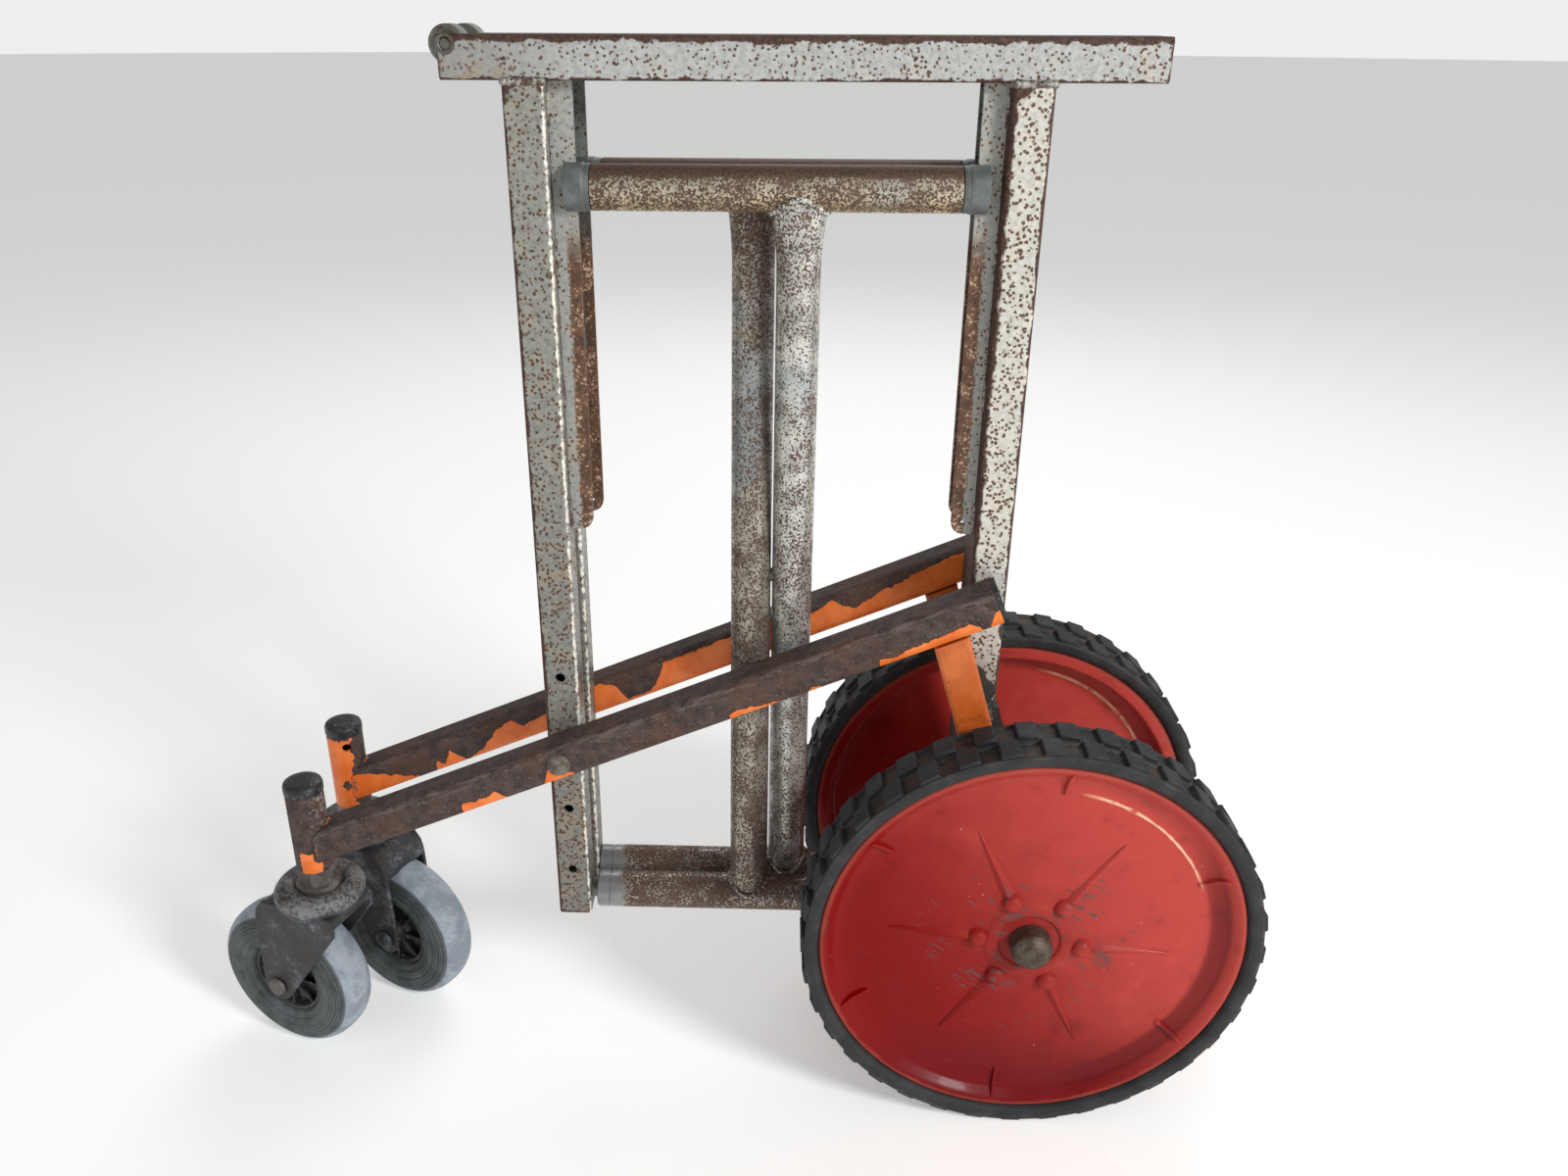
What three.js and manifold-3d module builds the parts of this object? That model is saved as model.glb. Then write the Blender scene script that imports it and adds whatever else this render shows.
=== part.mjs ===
// Folding carrier: two upright frames on large wheels and castors, joined by crossed T-bars.
// Millimetres, +Z up. X runs from the castors to the large wheels, Y across the two frames.
// The origin is on the floor, under the middle of the whole carrier.

import * as THREE from 'three';
import { mergeVertices } from 'three/addons/utils/BufferGeometryUtils.js';
import Module from 'manifold-3d';

// Driving dimensions
const FRAME_MIDDLE_X = 53.5; // middle of the upright frames, from the origin
const FRAME_PITCH = 41; // between the middle planes of the two frames when closed
const SIDE_PLAY = 3; // how far the far frame sits along X from the near one
const GAP = 0.3; // left between pieces that touch
const PIPE_SIDES = 18;
const ROD_SIDES = 16;
const HOLE_SIDES = 8;

// Upright frame, 30 mm square tube
const TUBE = 30;
const TUBE_WALL = 2.5;
const TUBE_CORNER = 3;
const LEG_X = 180;
const LEG_BOTTOM = 150;
const RAIL_TOP = 908;
const RAIL_FRONT = -238;
const RAIL_REAR = 272;
const HOLE_TOP_Z = 401.5;
const HOLE_PITCH = 67.2;
const HOLE_COUNT = 4;
const HOLE_RADIUS = 4.5;

// Guide plates on the legs, which the bushes straddle
const GUIDE_WIDTH = 18;
const GUIDE_THICK = 3.5;
const GUIDE_BOTTOM = 535;
const GUIDE_CORNER = 10;
const GUIDE_PIN_HOLE = 1.6;

// Crossed T-bars, 1 inch pipe
const PIPE_RADIUS = 16.85;
const PIPE_BORE = 13.85;
const CROSSBAR_Z = 805;
const FOOT_Z = 168;
const TBAR_HALF = 155; // half the width over the bushes, and of the foot pipe
const BUSH_LENGTH = 19;
const BUSH_SLOT_DEPTH = 8.5;
const SPIGOT_RADIUS = 6;
const SPIGOT_LENGTH = 8.8;
const SPIGOT_BORE = 3.5;
const RIGHT_POST_X = 18;
const LEFT_POST_X = -17;
const ROD_RADIUS = 8;
const PIVOT_RADIUS = 6;

// Sloping arm, 32 mm square tube, and the castor sleeve at its low end
const ARM = 32;
const ARM_WALL = 3;
const ARM_CORNER = 6;
const ARM_TILT = THREE.MathUtils.degToRad(23.04);
const SLEEVE_X = -413.5;
const SLEEVE_BOTTOM = 213;
const SLEEVE_TOP = 292;
const SLEEVE_CAP_HEIGHT = 12;
const ARM_END_X = 184;
const BOLT_RADIUS = 4;
const BOLT_HEAD_RADIUS = 10.3;
const BOLT_HEAD_HEIGHT = 5;
const NUT_HEIGHT = 4.8;
const NUT_FLATS = 13;

// Strut down to the large wheel
const STRUT = 30;
const STRUT_WALL = 3;
const STRUT_TOP_X = 144;
const STRUT_END = 19; // tube below the axle
const STRIP_THICK = 5;

// Large wheel
const WHEEL_X = 227.4;
const WHEEL_RADIUS = 197;
const WHEEL_HALF = 27;
const WHEEL_OUT = 85; // wheel's middle plane, from the frame's
const RIM_RADIUS = 181.5;
const WHEEL_SIDES = 28;
const AXLE_RADIUS = 10;

// Castor
const CASTOR_RADIUS = 77;
const CASTOR_HALF = 22;
const CASTOR_TRAIL = 44;
const CASTOR_CORE = 38;
const CASTOR_SIDES = 20;
const FORK_INSIDE = 25;
const FORK_THICK = 4;
const HEAD_RADIUS = 41;
const HEAD_BOTTOM = 174;
const HEAD_TOP = 196;
const STEM_RADIUS = 10;
const CASTOR_BOLT = 6;
const CASTOR_TURN = { near: THREE.MathUtils.degToRad(159), far: THREE.MathUtils.degToRad(-25) };

// Roller in the castor end of each top rail
const ROLLER_RADIUS = 13;
const ROLLER_WIDTH = 20;
const ROLLER_X = RAIL_FRONT + 6;
const ROLLER_Z = RAIL_TOP - 6.5;
const JOURNAL_RADIUS = 4;

// Places that follow from the driving dimensions
const LEG_INSIDE = LEG_X - TUBE / 2;
const RAIL_BOTTOM = RAIL_TOP - TUBE;
const TBAR_LENGTH = Math.hypot(CROSSBAR_Z - FOOT_Z, FRAME_PITCH);
const TBAR_LEAN = Math.atan2(FRAME_PITCH, CROSSBAR_Z - FOOT_Z);
const ARM_HOLE_Z = HOLE_TOP_Z - HOLE_PITCH;
const ARM_OUT = TUBE / 2 + GAP + ARM / 2;
const armZ = (x) => ARM_HOLE_Z + (x + LEG_X) * Math.tan(ARM_TILT);
const ARM_LENGTH = (ARM_END_X - SLEEVE_X) / Math.cos(ARM_TILT);
const STRUT_LENGTH = Math.hypot(WHEEL_X - STRUT_TOP_X, armZ(STRUT_TOP_X) - WHEEL_RADIUS);
const STRUT_TILT = Math.atan2(WHEEL_X - STRUT_TOP_X, armZ(STRUT_TOP_X) - WHEEL_RADIUS);

const FINISH = {
  greyPaint: { color: 0xa9aaa4, roughness: 0.6, metalness: 0.3 },
  rustyPipe: { color: 0x5e4a40, roughness: 0.8, metalness: 0.3 },
  rustyArm: { color: 0x5a4038, roughness: 0.85, metalness: 0.3 },
  orangePaint: { color: 0xf07a28, roughness: 0.45, metalness: 0.1 },
  bareSteel: { color: 0x8a8a86, roughness: 0.5, metalness: 0.9 },
  greyBush: { color: 0x66737a, roughness: 0.5, metalness: 0.2 },
  blackPlastic: { color: 0x1c1e20, roughness: 0.5, metalness: 0.0 },
  darkSteel: { color: 0x3a3b3a, roughness: 0.6, metalness: 0.7 },
  redPlastic: { color: 0xb8201f, roughness: 0.3, metalness: 0.0 },
  blackRubber: { color: 0x202123, roughness: 0.9, metalness: 0.0 },
  greyRubber: { color: 0x8f9ba3, roughness: 0.8, metalness: 0.0 },
};

// ---- Solid helpers ----

const wasm = await Module();
wasm.setup();

function toSolid(geometry) {
  const plain = geometry.clone();
  plain.deleteAttribute('normal');
  plain.deleteAttribute('uv');
  const merged = mergeVertices(plain, 1e-4);
  const source = merged.index.array;
  const triangles = [];
  for (let i = 0; i < source.length; i += 3) {
    const [a, b, c] = [source[i], source[i + 1], source[i + 2]];
    if (a !== b && b !== c && c !== a) triangles.push(a, b, c);
  }
  return new wasm.Manifold(new wasm.Mesh({
    numProp: 3,
    vertProperties: new Float32Array(merged.attributes.position.array),
    triVerts: new Uint32Array(triangles),
  }));
}

function toGeometry(solid) {
  const mesh = solid.getMesh();
  const geometry = new THREE.BufferGeometry();
  geometry.setAttribute('position', new THREE.BufferAttribute(mesh.vertProperties, 3));
  geometry.setIndex(new THREE.BufferAttribute(mesh.triVerts, 1));
  geometry.computeVertexNormals();
  return geometry;
}

function cut(body, ...tools) {
  return toGeometry(tools.reduce((solid, tool) => solid.subtract(toSolid(tool)), toSolid(body)));
}

function join(...bodies) {
  return toGeometry(bodies.map(toSolid).reduce((whole, solid) => whole.add(solid)));
}

// ---- Shape helpers ----

function roundedSquare(PathClass, side, corner, segments = 2) {
  const half = side / 2 - corner;
  const path = new PathClass();
  const points = [];
  [[half, half], [-half, half], [-half, -half], [half, -half]].forEach(([x, y], quarter) => {
    for (let i = 0; i <= segments; i += 1) {
      const angle = (quarter + i / segments) * Math.PI / 2;
      points.push(new THREE.Vector2(x + corner * Math.cos(angle), y + corner * Math.sin(angle)));
    }
  });
  path.setFromPoints(points);
  return path;
}

// Square tube along +Z from z = 0
function squareTube(side, wall, corner, length) {
  const shape = roundedSquare(THREE.Shape, side, corner);
  shape.holes.push(roundedSquare(THREE.Path, side - 2 * wall, Math.max(corner - wall, 0.8), 1));
  return new THREE.ExtrudeGeometry(shape, { depth: length, bevelEnabled: false, steps: 1 });
}

// Solid of revolution about Z; profile points are [radius, z], counter-clockwise
function turned(profile, sides = PIPE_SIDES) {
  const points = profile.map(([radius, z]) => new THREE.Vector2(radius, z));
  return new THREE.LatheGeometry(points, sides).rotateX(Math.PI / 2);
}

function closed(profile) {
  return [...profile, profile[0]];
}

// Wheel shape about Y with its flats at the nominal radius; profile points are [radius, outward]
function wheelTurned(profile, sides) {
  const toCorner = 1 / Math.cos(Math.PI / sides);
  const points = profile.map(([radius, outward]) => new THREE.Vector2(radius * toCorner, outward));
  return new THREE.LatheGeometry(points, sides, Math.PI / sides);
}

function rod(radius, length, axis, sides = ROD_SIDES) {
  const geometry = new THREE.CylinderGeometry(radius, radius, length, sides);
  if (axis === 'x') geometry.rotateZ(Math.PI / 2);
  if (axis === 'z') geometry.rotateX(Math.PI / 2);
  return geometry;
}

function pipe(length) {
  return turned(closed([
    [PIPE_BORE, 0],
    [PIPE_RADIUS, 0],
    [PIPE_RADIUS, length],
    [PIPE_BORE, length],
  ]));
}

function box(x, y, z) {
  return new THREE.BoxGeometry(x, y, z);
}

function hexNut(flats, height, bore) {
  const hexagon = new THREE.CylinderGeometry(flats / Math.sqrt(3), flats / Math.sqrt(3), height, 6);
  return cut(hexagon, rod(bore, height + 2, 'y'));
}

function named(name, geometry, finish, position = [0, 0, 0], rotation = [0, 0, 0]) {
  const mesh = new THREE.Mesh(geometry, new THREE.MeshStandardMaterial(FINISH[finish]));
  mesh.name = name;
  mesh.position.set(...position);
  mesh.rotation.set(...rotation);
  return mesh;
}

// ---- Upright frame ----

function topRail() {
  const tube = squareTube(TUBE, TUBE_WALL, TUBE_CORNER, RAIL_REAR - RAIL_FRONT);
  tube.rotateY(Math.PI / 2).translate(RAIL_FRONT, 0, RAIL_TOP - TUBE / 2);
  const slotLength = 2 * (ROLLER_X + ROLLER_RADIUS + 2 - RAIL_FRONT);
  const slot = box(slotLength, ROLLER_WIDTH + 1, TUBE).translate(RAIL_FRONT, 0, RAIL_TOP);
  const journals = rod(JOURNAL_RADIUS + GAP, TUBE + 2, 'y').translate(ROLLER_X, 0, ROLLER_Z);
  return cut(tube, slot, journals);
}

function leg(holes) {
  const tube = squareTube(TUBE, TUBE_WALL, TUBE_CORNER, RAIL_BOTTOM - GAP - LEG_BOTTOM);
  tube.translate(0, 0, LEG_BOTTOM);
  const rodHole = rod(ROD_RADIUS + GAP, TUBE + 2, 'x').translate(0, 0, FOOT_Z);
  return cut(tube, rodHole, ...holes);
}

function adjustmentHoles() {
  return Array.from({ length: HOLE_COUNT }, (_, i) => (
    rod(HOLE_RADIUS, TUBE + 2, 'y', HOLE_SIDES).translate(0, 0, HOLE_TOP_Z - i * HOLE_PITCH)
  ));
}

// Flat bar in the XZ plane; its free edge is towards +X, its weld edge at x = 0
function guidePlate() {
  const shape = new THREE.Shape();
  shape.moveTo(0, GUIDE_BOTTOM);
  shape.lineTo(GUIDE_WIDTH - GUIDE_CORNER, GUIDE_BOTTOM);
  const centre = [GUIDE_WIDTH - GUIDE_CORNER, GUIDE_BOTTOM + GUIDE_CORNER];
  shape.absarc(...centre, GUIDE_CORNER, -Math.PI / 2, 0, false);
  shape.lineTo(GUIDE_WIDTH, RAIL_BOTTOM - GAP);
  shape.lineTo(0, RAIL_BOTTOM - GAP);
  const plate = new THREE.ExtrudeGeometry(shape, {
    depth: GUIDE_THICK, bevelEnabled: false, curveSegments: 4,
  });
  plate.rotateX(Math.PI / 2).translate(0, GUIDE_THICK / 2, 0);
  const hole = rod(GUIDE_PIN_HOLE, GUIDE_THICK + 2, 'y', HOLE_SIDES);
  return cut(plate, hole.translate(GUIDE_WIDTH / 2, 0, GUIDE_BOTTOM + GUIDE_CORNER));
}

function railRoller() {
  const half = ROLLER_WIDTH / 2;
  const journal = TUBE / 2 - GAP;
  return turned([
    [0, -journal],
    [JOURNAL_RADIUS, -journal],
    [JOURNAL_RADIUS, -half],
    [ROLLER_RADIUS, -half],
    [ROLLER_RADIUS, half],
    [JOURNAL_RADIUS, half],
    [JOURNAL_RADIUS, journal],
    [0, journal],
  ]).rotateX(-Math.PI / 2);
}

// ---- Arm, castor sleeve and strut ----

// Arm along its own axis, drawn about the sleeve's axis at x = 0
function arm() {
  const overlap = 2;
  const tube = squareTube(ARM, ARM_WALL, ARM_CORNER, ARM_LENGTH + overlap);
  tube.translate(0, 0, -overlap).rotateY(Math.PI / 2 - ARM_TILT);
  const cope = rod(PIPE_RADIUS + GAP, 4 * ARM, 'z', PIPE_SIDES);
  const rise = armZ(-LEG_X) - armZ(SLEEVE_X);
  const boltHole = rod(HOLE_RADIUS, ARM + 2, 'y', HOLE_SIDES).translate(-LEG_X - SLEEVE_X, 0, rise);
  return cut(tube, cope, boltHole);
}

function sleeveCap() {
  const spigot = 12;
  return turned([
    [0, -spigot],
    [PIPE_BORE - GAP, -spigot],
    [PIPE_BORE - GAP, GAP],
    [PIPE_RADIUS + 0.6, GAP],
    [PIPE_RADIUS + 0.6, SLEEVE_CAP_HEIGHT - 2],
    [PIPE_RADIUS - 1.5, SLEEVE_CAP_HEIGHT],
    [0, SLEEVE_CAP_HEIGHT],
  ]);
}

function armPlug() {
  const head = new THREE.ExtrudeGeometry(roundedSquare(THREE.Shape, ARM, ARM_CORNER), {
    depth: 4, bevelEnabled: false, steps: 1,
  });
  head.translate(0, 0, GAP);
  const inside = ARM - 2 * ARM_WALL - 2 * GAP;
  const spigotShape = roundedSquare(THREE.Shape, inside, ARM_CORNER);
  const spigot = new THREE.ExtrudeGeometry(spigotShape, {
    depth: 15, bevelEnabled: false, steps: 1,
  });
  spigot.translate(0, 0, -14);
  return join(head, spigot);
}

// Carriage bolt along +Y (outward), its head seated at y = 0
function carriageBolt(shank) {
  return turned([
    [0, -shank],
    [BOLT_RADIUS, -shank],
    [BOLT_RADIUS, 0],
    [BOLT_HEAD_RADIUS, 0],
    [BOLT_HEAD_RADIUS * 0.94, BOLT_HEAD_HEIGHT * 0.4],
    [BOLT_HEAD_RADIUS * 0.6, BOLT_HEAD_HEIGHT * 0.85],
    [0, BOLT_HEAD_HEIGHT],
  ], ROD_SIDES).rotateX(-Math.PI / 2);
}

// Strut along +Z from the wheel's axle at z = 0, its top coped to the arm's underside
function wheelStrut() {
  const tube = squareTube(STRUT, STRUT_WALL, TUBE_CORNER, STRUT_END + STRUT_LENGTH);
  tube.translate(0, 0, -STRUT_END);
  const axleHole = rod(AXLE_RADIUS + GAP, STRUT + 2, 'y');
  const armSpace = box(8 * ARM, ARM + 2, ARM + 2 * GAP);
  armSpace.rotateY(STRUT_TILT - ARM_TILT).translate(0, 0, STRUT_LENGTH);
  return cut(tube, axleHole, armSpace);
}

// Notched strip beside the strut, drawn in the strut's own axes
function strutStrip() {
  const inside = STRUT / 2 + GAP;
  const edge = inside + 5;
  const tooth = edge + 4;
  const bottom = 30;
  const pitch = 24;
  const teeth = 8;
  const shape = new THREE.Shape();
  shape.moveTo(inside, bottom);
  shape.lineTo(edge, bottom);
  for (let i = 0; i < teeth; i += 1) {
    const start = bottom + i * pitch;
    shape.lineTo(edge, start + pitch * 0.3);
    shape.lineTo(tooth, start + pitch * 0.45);
    shape.lineTo(tooth, start + pitch * 0.85);
    shape.lineTo(edge, start + pitch);
  }
  const top = bottom + teeth * pitch + 10;
  shape.lineTo(edge, top);
  shape.lineTo(inside, top + 6);
  const strip = new THREE.ExtrudeGeometry(shape, { depth: STRIP_THICK, bevelEnabled: false });
  return strip.rotateX(Math.PI / 2).translate(0, STRIP_THICK / 2, 0);
}

// Axle along +Y (outward) from the frame's middle plane
function wheelAxle() {
  const strutInside = ARM_OUT - STRUT / 2 - GAP;
  const strutOutside = ARM_OUT + STRUT / 2 + GAP;
  const hubInside = WHEEL_OUT - 30 - GAP;
  const end = WHEEL_OUT + 28;
  const spindle = turned([
    [0, strutInside - 2],
    [AXLE_RADIUS, strutInside - 2],
    [AXLE_RADIUS, strutOutside],
    [AXLE_RADIUS + 5, strutOutside],
    [AXLE_RADIUS + 5, hubInside],
    [AXLE_RADIUS, hubInside],
    [AXLE_RADIUS, end],
    [0, end],
  ], ROD_SIDES).rotateX(-Math.PI / 2);
  const head = new THREE.CylinderGeometry(15, 15, 8, 6).translate(0, strutInside - 4, 0);
  return join(spindle, head);
}

// ---- Large wheel, outward along +Y ----

function tyre() {
  return wheelTurned(closed([
    [RIM_RADIUS, -22],
    [RIM_RADIUS, 22],
    [RIM_RADIUS + 7, WHEEL_HALF],
    [WHEEL_RADIUS - 3, WHEEL_HALF - 2],
    [WHEEL_RADIUS, WHEEL_HALF - 9],
    [WHEEL_RADIUS, 9 - WHEEL_HALF],
    [WHEEL_RADIUS - 3, 2 - WHEEL_HALF],
    [RIM_RADIUS + 7, -WHEEL_HALF],
  ].reverse()), WHEEL_SIDES);
}

function wheelDisc() {
  const rim = RIM_RADIUS - GAP;
  return wheelTurned(closed([
    [AXLE_RADIUS + 0.5, -30],
    [30, -30],
    [30, -6],
    [168, -4],
    [170, -22],
    [rim, -22],
    [rim, 22],
    [176, 22],
    [172, 9],
    [36, 14],
    [36, 26],
    [26, 26],
    [26, 18],
    [AXLE_RADIUS + 0.5, 18],
  ]), WHEEL_SIDES);
}

function hubCap() {
  const bore = AXLE_RADIUS + 1;
  return wheelTurned([
    [0, 29.5],
    [bore, 29.5],
    [bore, 18 + GAP],
    [18, 18 + GAP],
    [18, 29],
    [12, 34.5],
    [0, 36],
  ], ROD_SIDES);
}

// ---- Castor, drawn about its swivel axis with the wheel trailing to +X ----

function castorStem() {
  const stem = turned([
    [0, HEAD_BOTTOM - 10],
    [14, HEAD_BOTTOM - 10],
    [14, HEAD_BOTTOM - GAP],
    [STEM_RADIUS, HEAD_BOTTOM - GAP],
    [STEM_RADIUS, SLEEVE_BOTTOM + 60],
    [0, SLEEVE_BOTTOM + 60],
  ], ROD_SIDES);
  const nutBottom = HEAD_TOP + GAP;
  const nutHeight = SLEEVE_BOTTOM - GAP - nutBottom;
  const nut = new THREE.CylinderGeometry(30 / Math.sqrt(3), 30 / Math.sqrt(3), nutHeight, 6);
  return join(stem, nut.rotateX(Math.PI / 2).translate(0, 0, nutBottom + nutHeight / 2));
}

function forkSide() {
  const eye = 16;
  const shape = new THREE.Shape();
  shape.moveTo(-34, HEAD_BOTTOM + 1);
  shape.lineTo(-34, HEAD_BOTTOM - 14);
  shape.lineTo(CASTOR_TRAIL - eye * 0.94, CASTOR_RADIUS - eye * 0.35);
  const turns = 6;
  for (let i = 1; i <= turns; i += 1) {
    const angle = Math.PI * (1.11 + (0.97 * i) / turns);
    shape.lineTo(CASTOR_TRAIL + eye * Math.cos(angle), CASTOR_RADIUS + eye * Math.sin(angle));
  }
  shape.lineTo(50, HEAD_BOTTOM - 12);
  shape.lineTo(46, HEAD_BOTTOM + 1);
  const plate = new THREE.ExtrudeGeometry(shape, { depth: FORK_THICK, bevelEnabled: false });
  plate.rotateX(Math.PI / 2);
  return cut(plate, rod(CASTOR_BOLT + GAP, 40, 'y').translate(CASTOR_TRAIL, 0, CASTOR_RADIUS));
}

function castorFork() {
  const crown = box(80, 2 * (FORK_INSIDE + FORK_THICK), 5).translate(6, 0, HEAD_BOTTOM + 2.5);
  const head = turned([
    [0, HEAD_BOTTOM],
    [HEAD_RADIUS, HEAD_BOTTOM + 4],
    [HEAD_RADIUS, HEAD_BOTTOM + 11],
    [HEAD_RADIUS - 10, HEAD_TOP],
    [0, HEAD_TOP],
  ], CASTOR_SIDES);
  const left = forkSide().translate(0, FORK_INSIDE + FORK_THICK, 0);
  const right = forkSide().translate(0, -FORK_INSIDE, 0);
  return cut(join(crown, head, left, right), rod(STEM_RADIUS + 0.4, 400, 'z'));
}

function castorAxleBolt() {
  const outside = FORK_INSIDE + FORK_THICK + GAP;
  return turned([
    [0, -outside - 6],
    [10, -outside - 4],
    [10, -outside],
    [CASTOR_BOLT, -outside],
    [CASTOR_BOLT, outside],
    [10, outside],
    [10, outside + 4],
    [0, outside + 6],
  ], HOLE_SIDES).rotateX(-Math.PI / 2);
}

function castorTyre() {
  const inner = CASTOR_CORE + GAP;
  return wheelTurned(closed([
    [inner, CASTOR_HALF - 4],
    [CASTOR_CORE + 14, CASTOR_HALF],
    [CASTOR_RADIUS - 8, CASTOR_HALF - 4],
    [CASTOR_RADIUS, 10],
    [CASTOR_RADIUS, -10],
    [CASTOR_RADIUS - 8, 4 - CASTOR_HALF],
    [CASTOR_CORE + 14, -CASTOR_HALF],
    [inner, 4 - CASTOR_HALF],
  ]).reverse(), CASTOR_SIDES);
}

function castorCore() {
  return wheelTurned(closed([
    [CASTOR_BOLT + 0.5, -24],
    [13, -24],
    [13, -9],
    [CASTOR_CORE, -9],
    [CASTOR_CORE, 9],
    [13, 9],
    [13, 24],
    [CASTOR_BOLT + 0.5, 24],
  ]), CASTOR_SIDES);
}

// ---- T-bars ----

function crossbar() {
  const body = TBAR_HALF - BUSH_LENGTH - GAP;
  const spigot = body + SPIGOT_LENGTH;
  const wallEnd = body - 6;
  return turned(closed([
    [SPIGOT_BORE, -spigot],
    [SPIGOT_RADIUS, -spigot],
    [SPIGOT_RADIUS, -body],
    [PIPE_RADIUS, -body],
    [PIPE_RADIUS, body],
    [SPIGOT_RADIUS, body],
    [SPIGOT_RADIUS, spigot],
    [SPIGOT_BORE, spigot],
    [SPIGOT_BORE, wallEnd],
    [PIPE_BORE, wallEnd],
    [PIPE_BORE, -wallEnd],
    [SPIGOT_BORE, -wallEnd],
  ])).rotateY(Math.PI / 2);
}

function footPipe() {
  const bore = ROD_RADIUS + GAP;
  const endWall = TBAR_HALF - 6;
  return turned(closed([
    [bore, -TBAR_HALF],
    [PIPE_RADIUS, -TBAR_HALF],
    [PIPE_RADIUS, TBAR_HALF],
    [bore, TBAR_HALF],
    [bore, endWall],
    [PIPE_BORE, endWall],
    [PIPE_BORE, -endWall],
    [bore, -endWall],
  ])).rotateY(Math.PI / 2);
}

function post() {
  const reach = 4 * PIPE_RADIUS;
  const footCope = rod(PIPE_RADIUS + GAP, reach, 'x', PIPE_SIDES);
  const topCope = rod(PIPE_RADIUS + GAP, reach, 'x', PIPE_SIDES).translate(0, 0, TBAR_LENGTH);
  const pivotHole = rod(PIVOT_RADIUS + GAP, reach, 'x').translate(0, 0, TBAR_LENGTH / 2);
  return cut(pipe(TBAR_LENGTH), footCope, topCope, pivotHole);
}

// Bush with its bore towards the crossbar (-X) and its guide slot towards the leg (+X)
function guideBush() {
  const body = rod(PIPE_RADIUS, BUSH_LENGTH, 'x', PIPE_SIDES);
  const slotWidth = GUIDE_THICK + 2 * GAP;
  const slot = box(2 * BUSH_SLOT_DEPTH, slotWidth, 3 * PIPE_RADIUS).translate(BUSH_LENGTH / 2, 0, 0);
  const boreDepth = SPIGOT_LENGTH + GAP / 2;
  const bore = rod(SPIGOT_RADIUS + GAP, 2 * boreDepth, 'x').translate(-BUSH_LENGTH / 2, 0, 0);
  return cut(body, slot, bore);
}

// ---- Assembly ----

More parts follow.
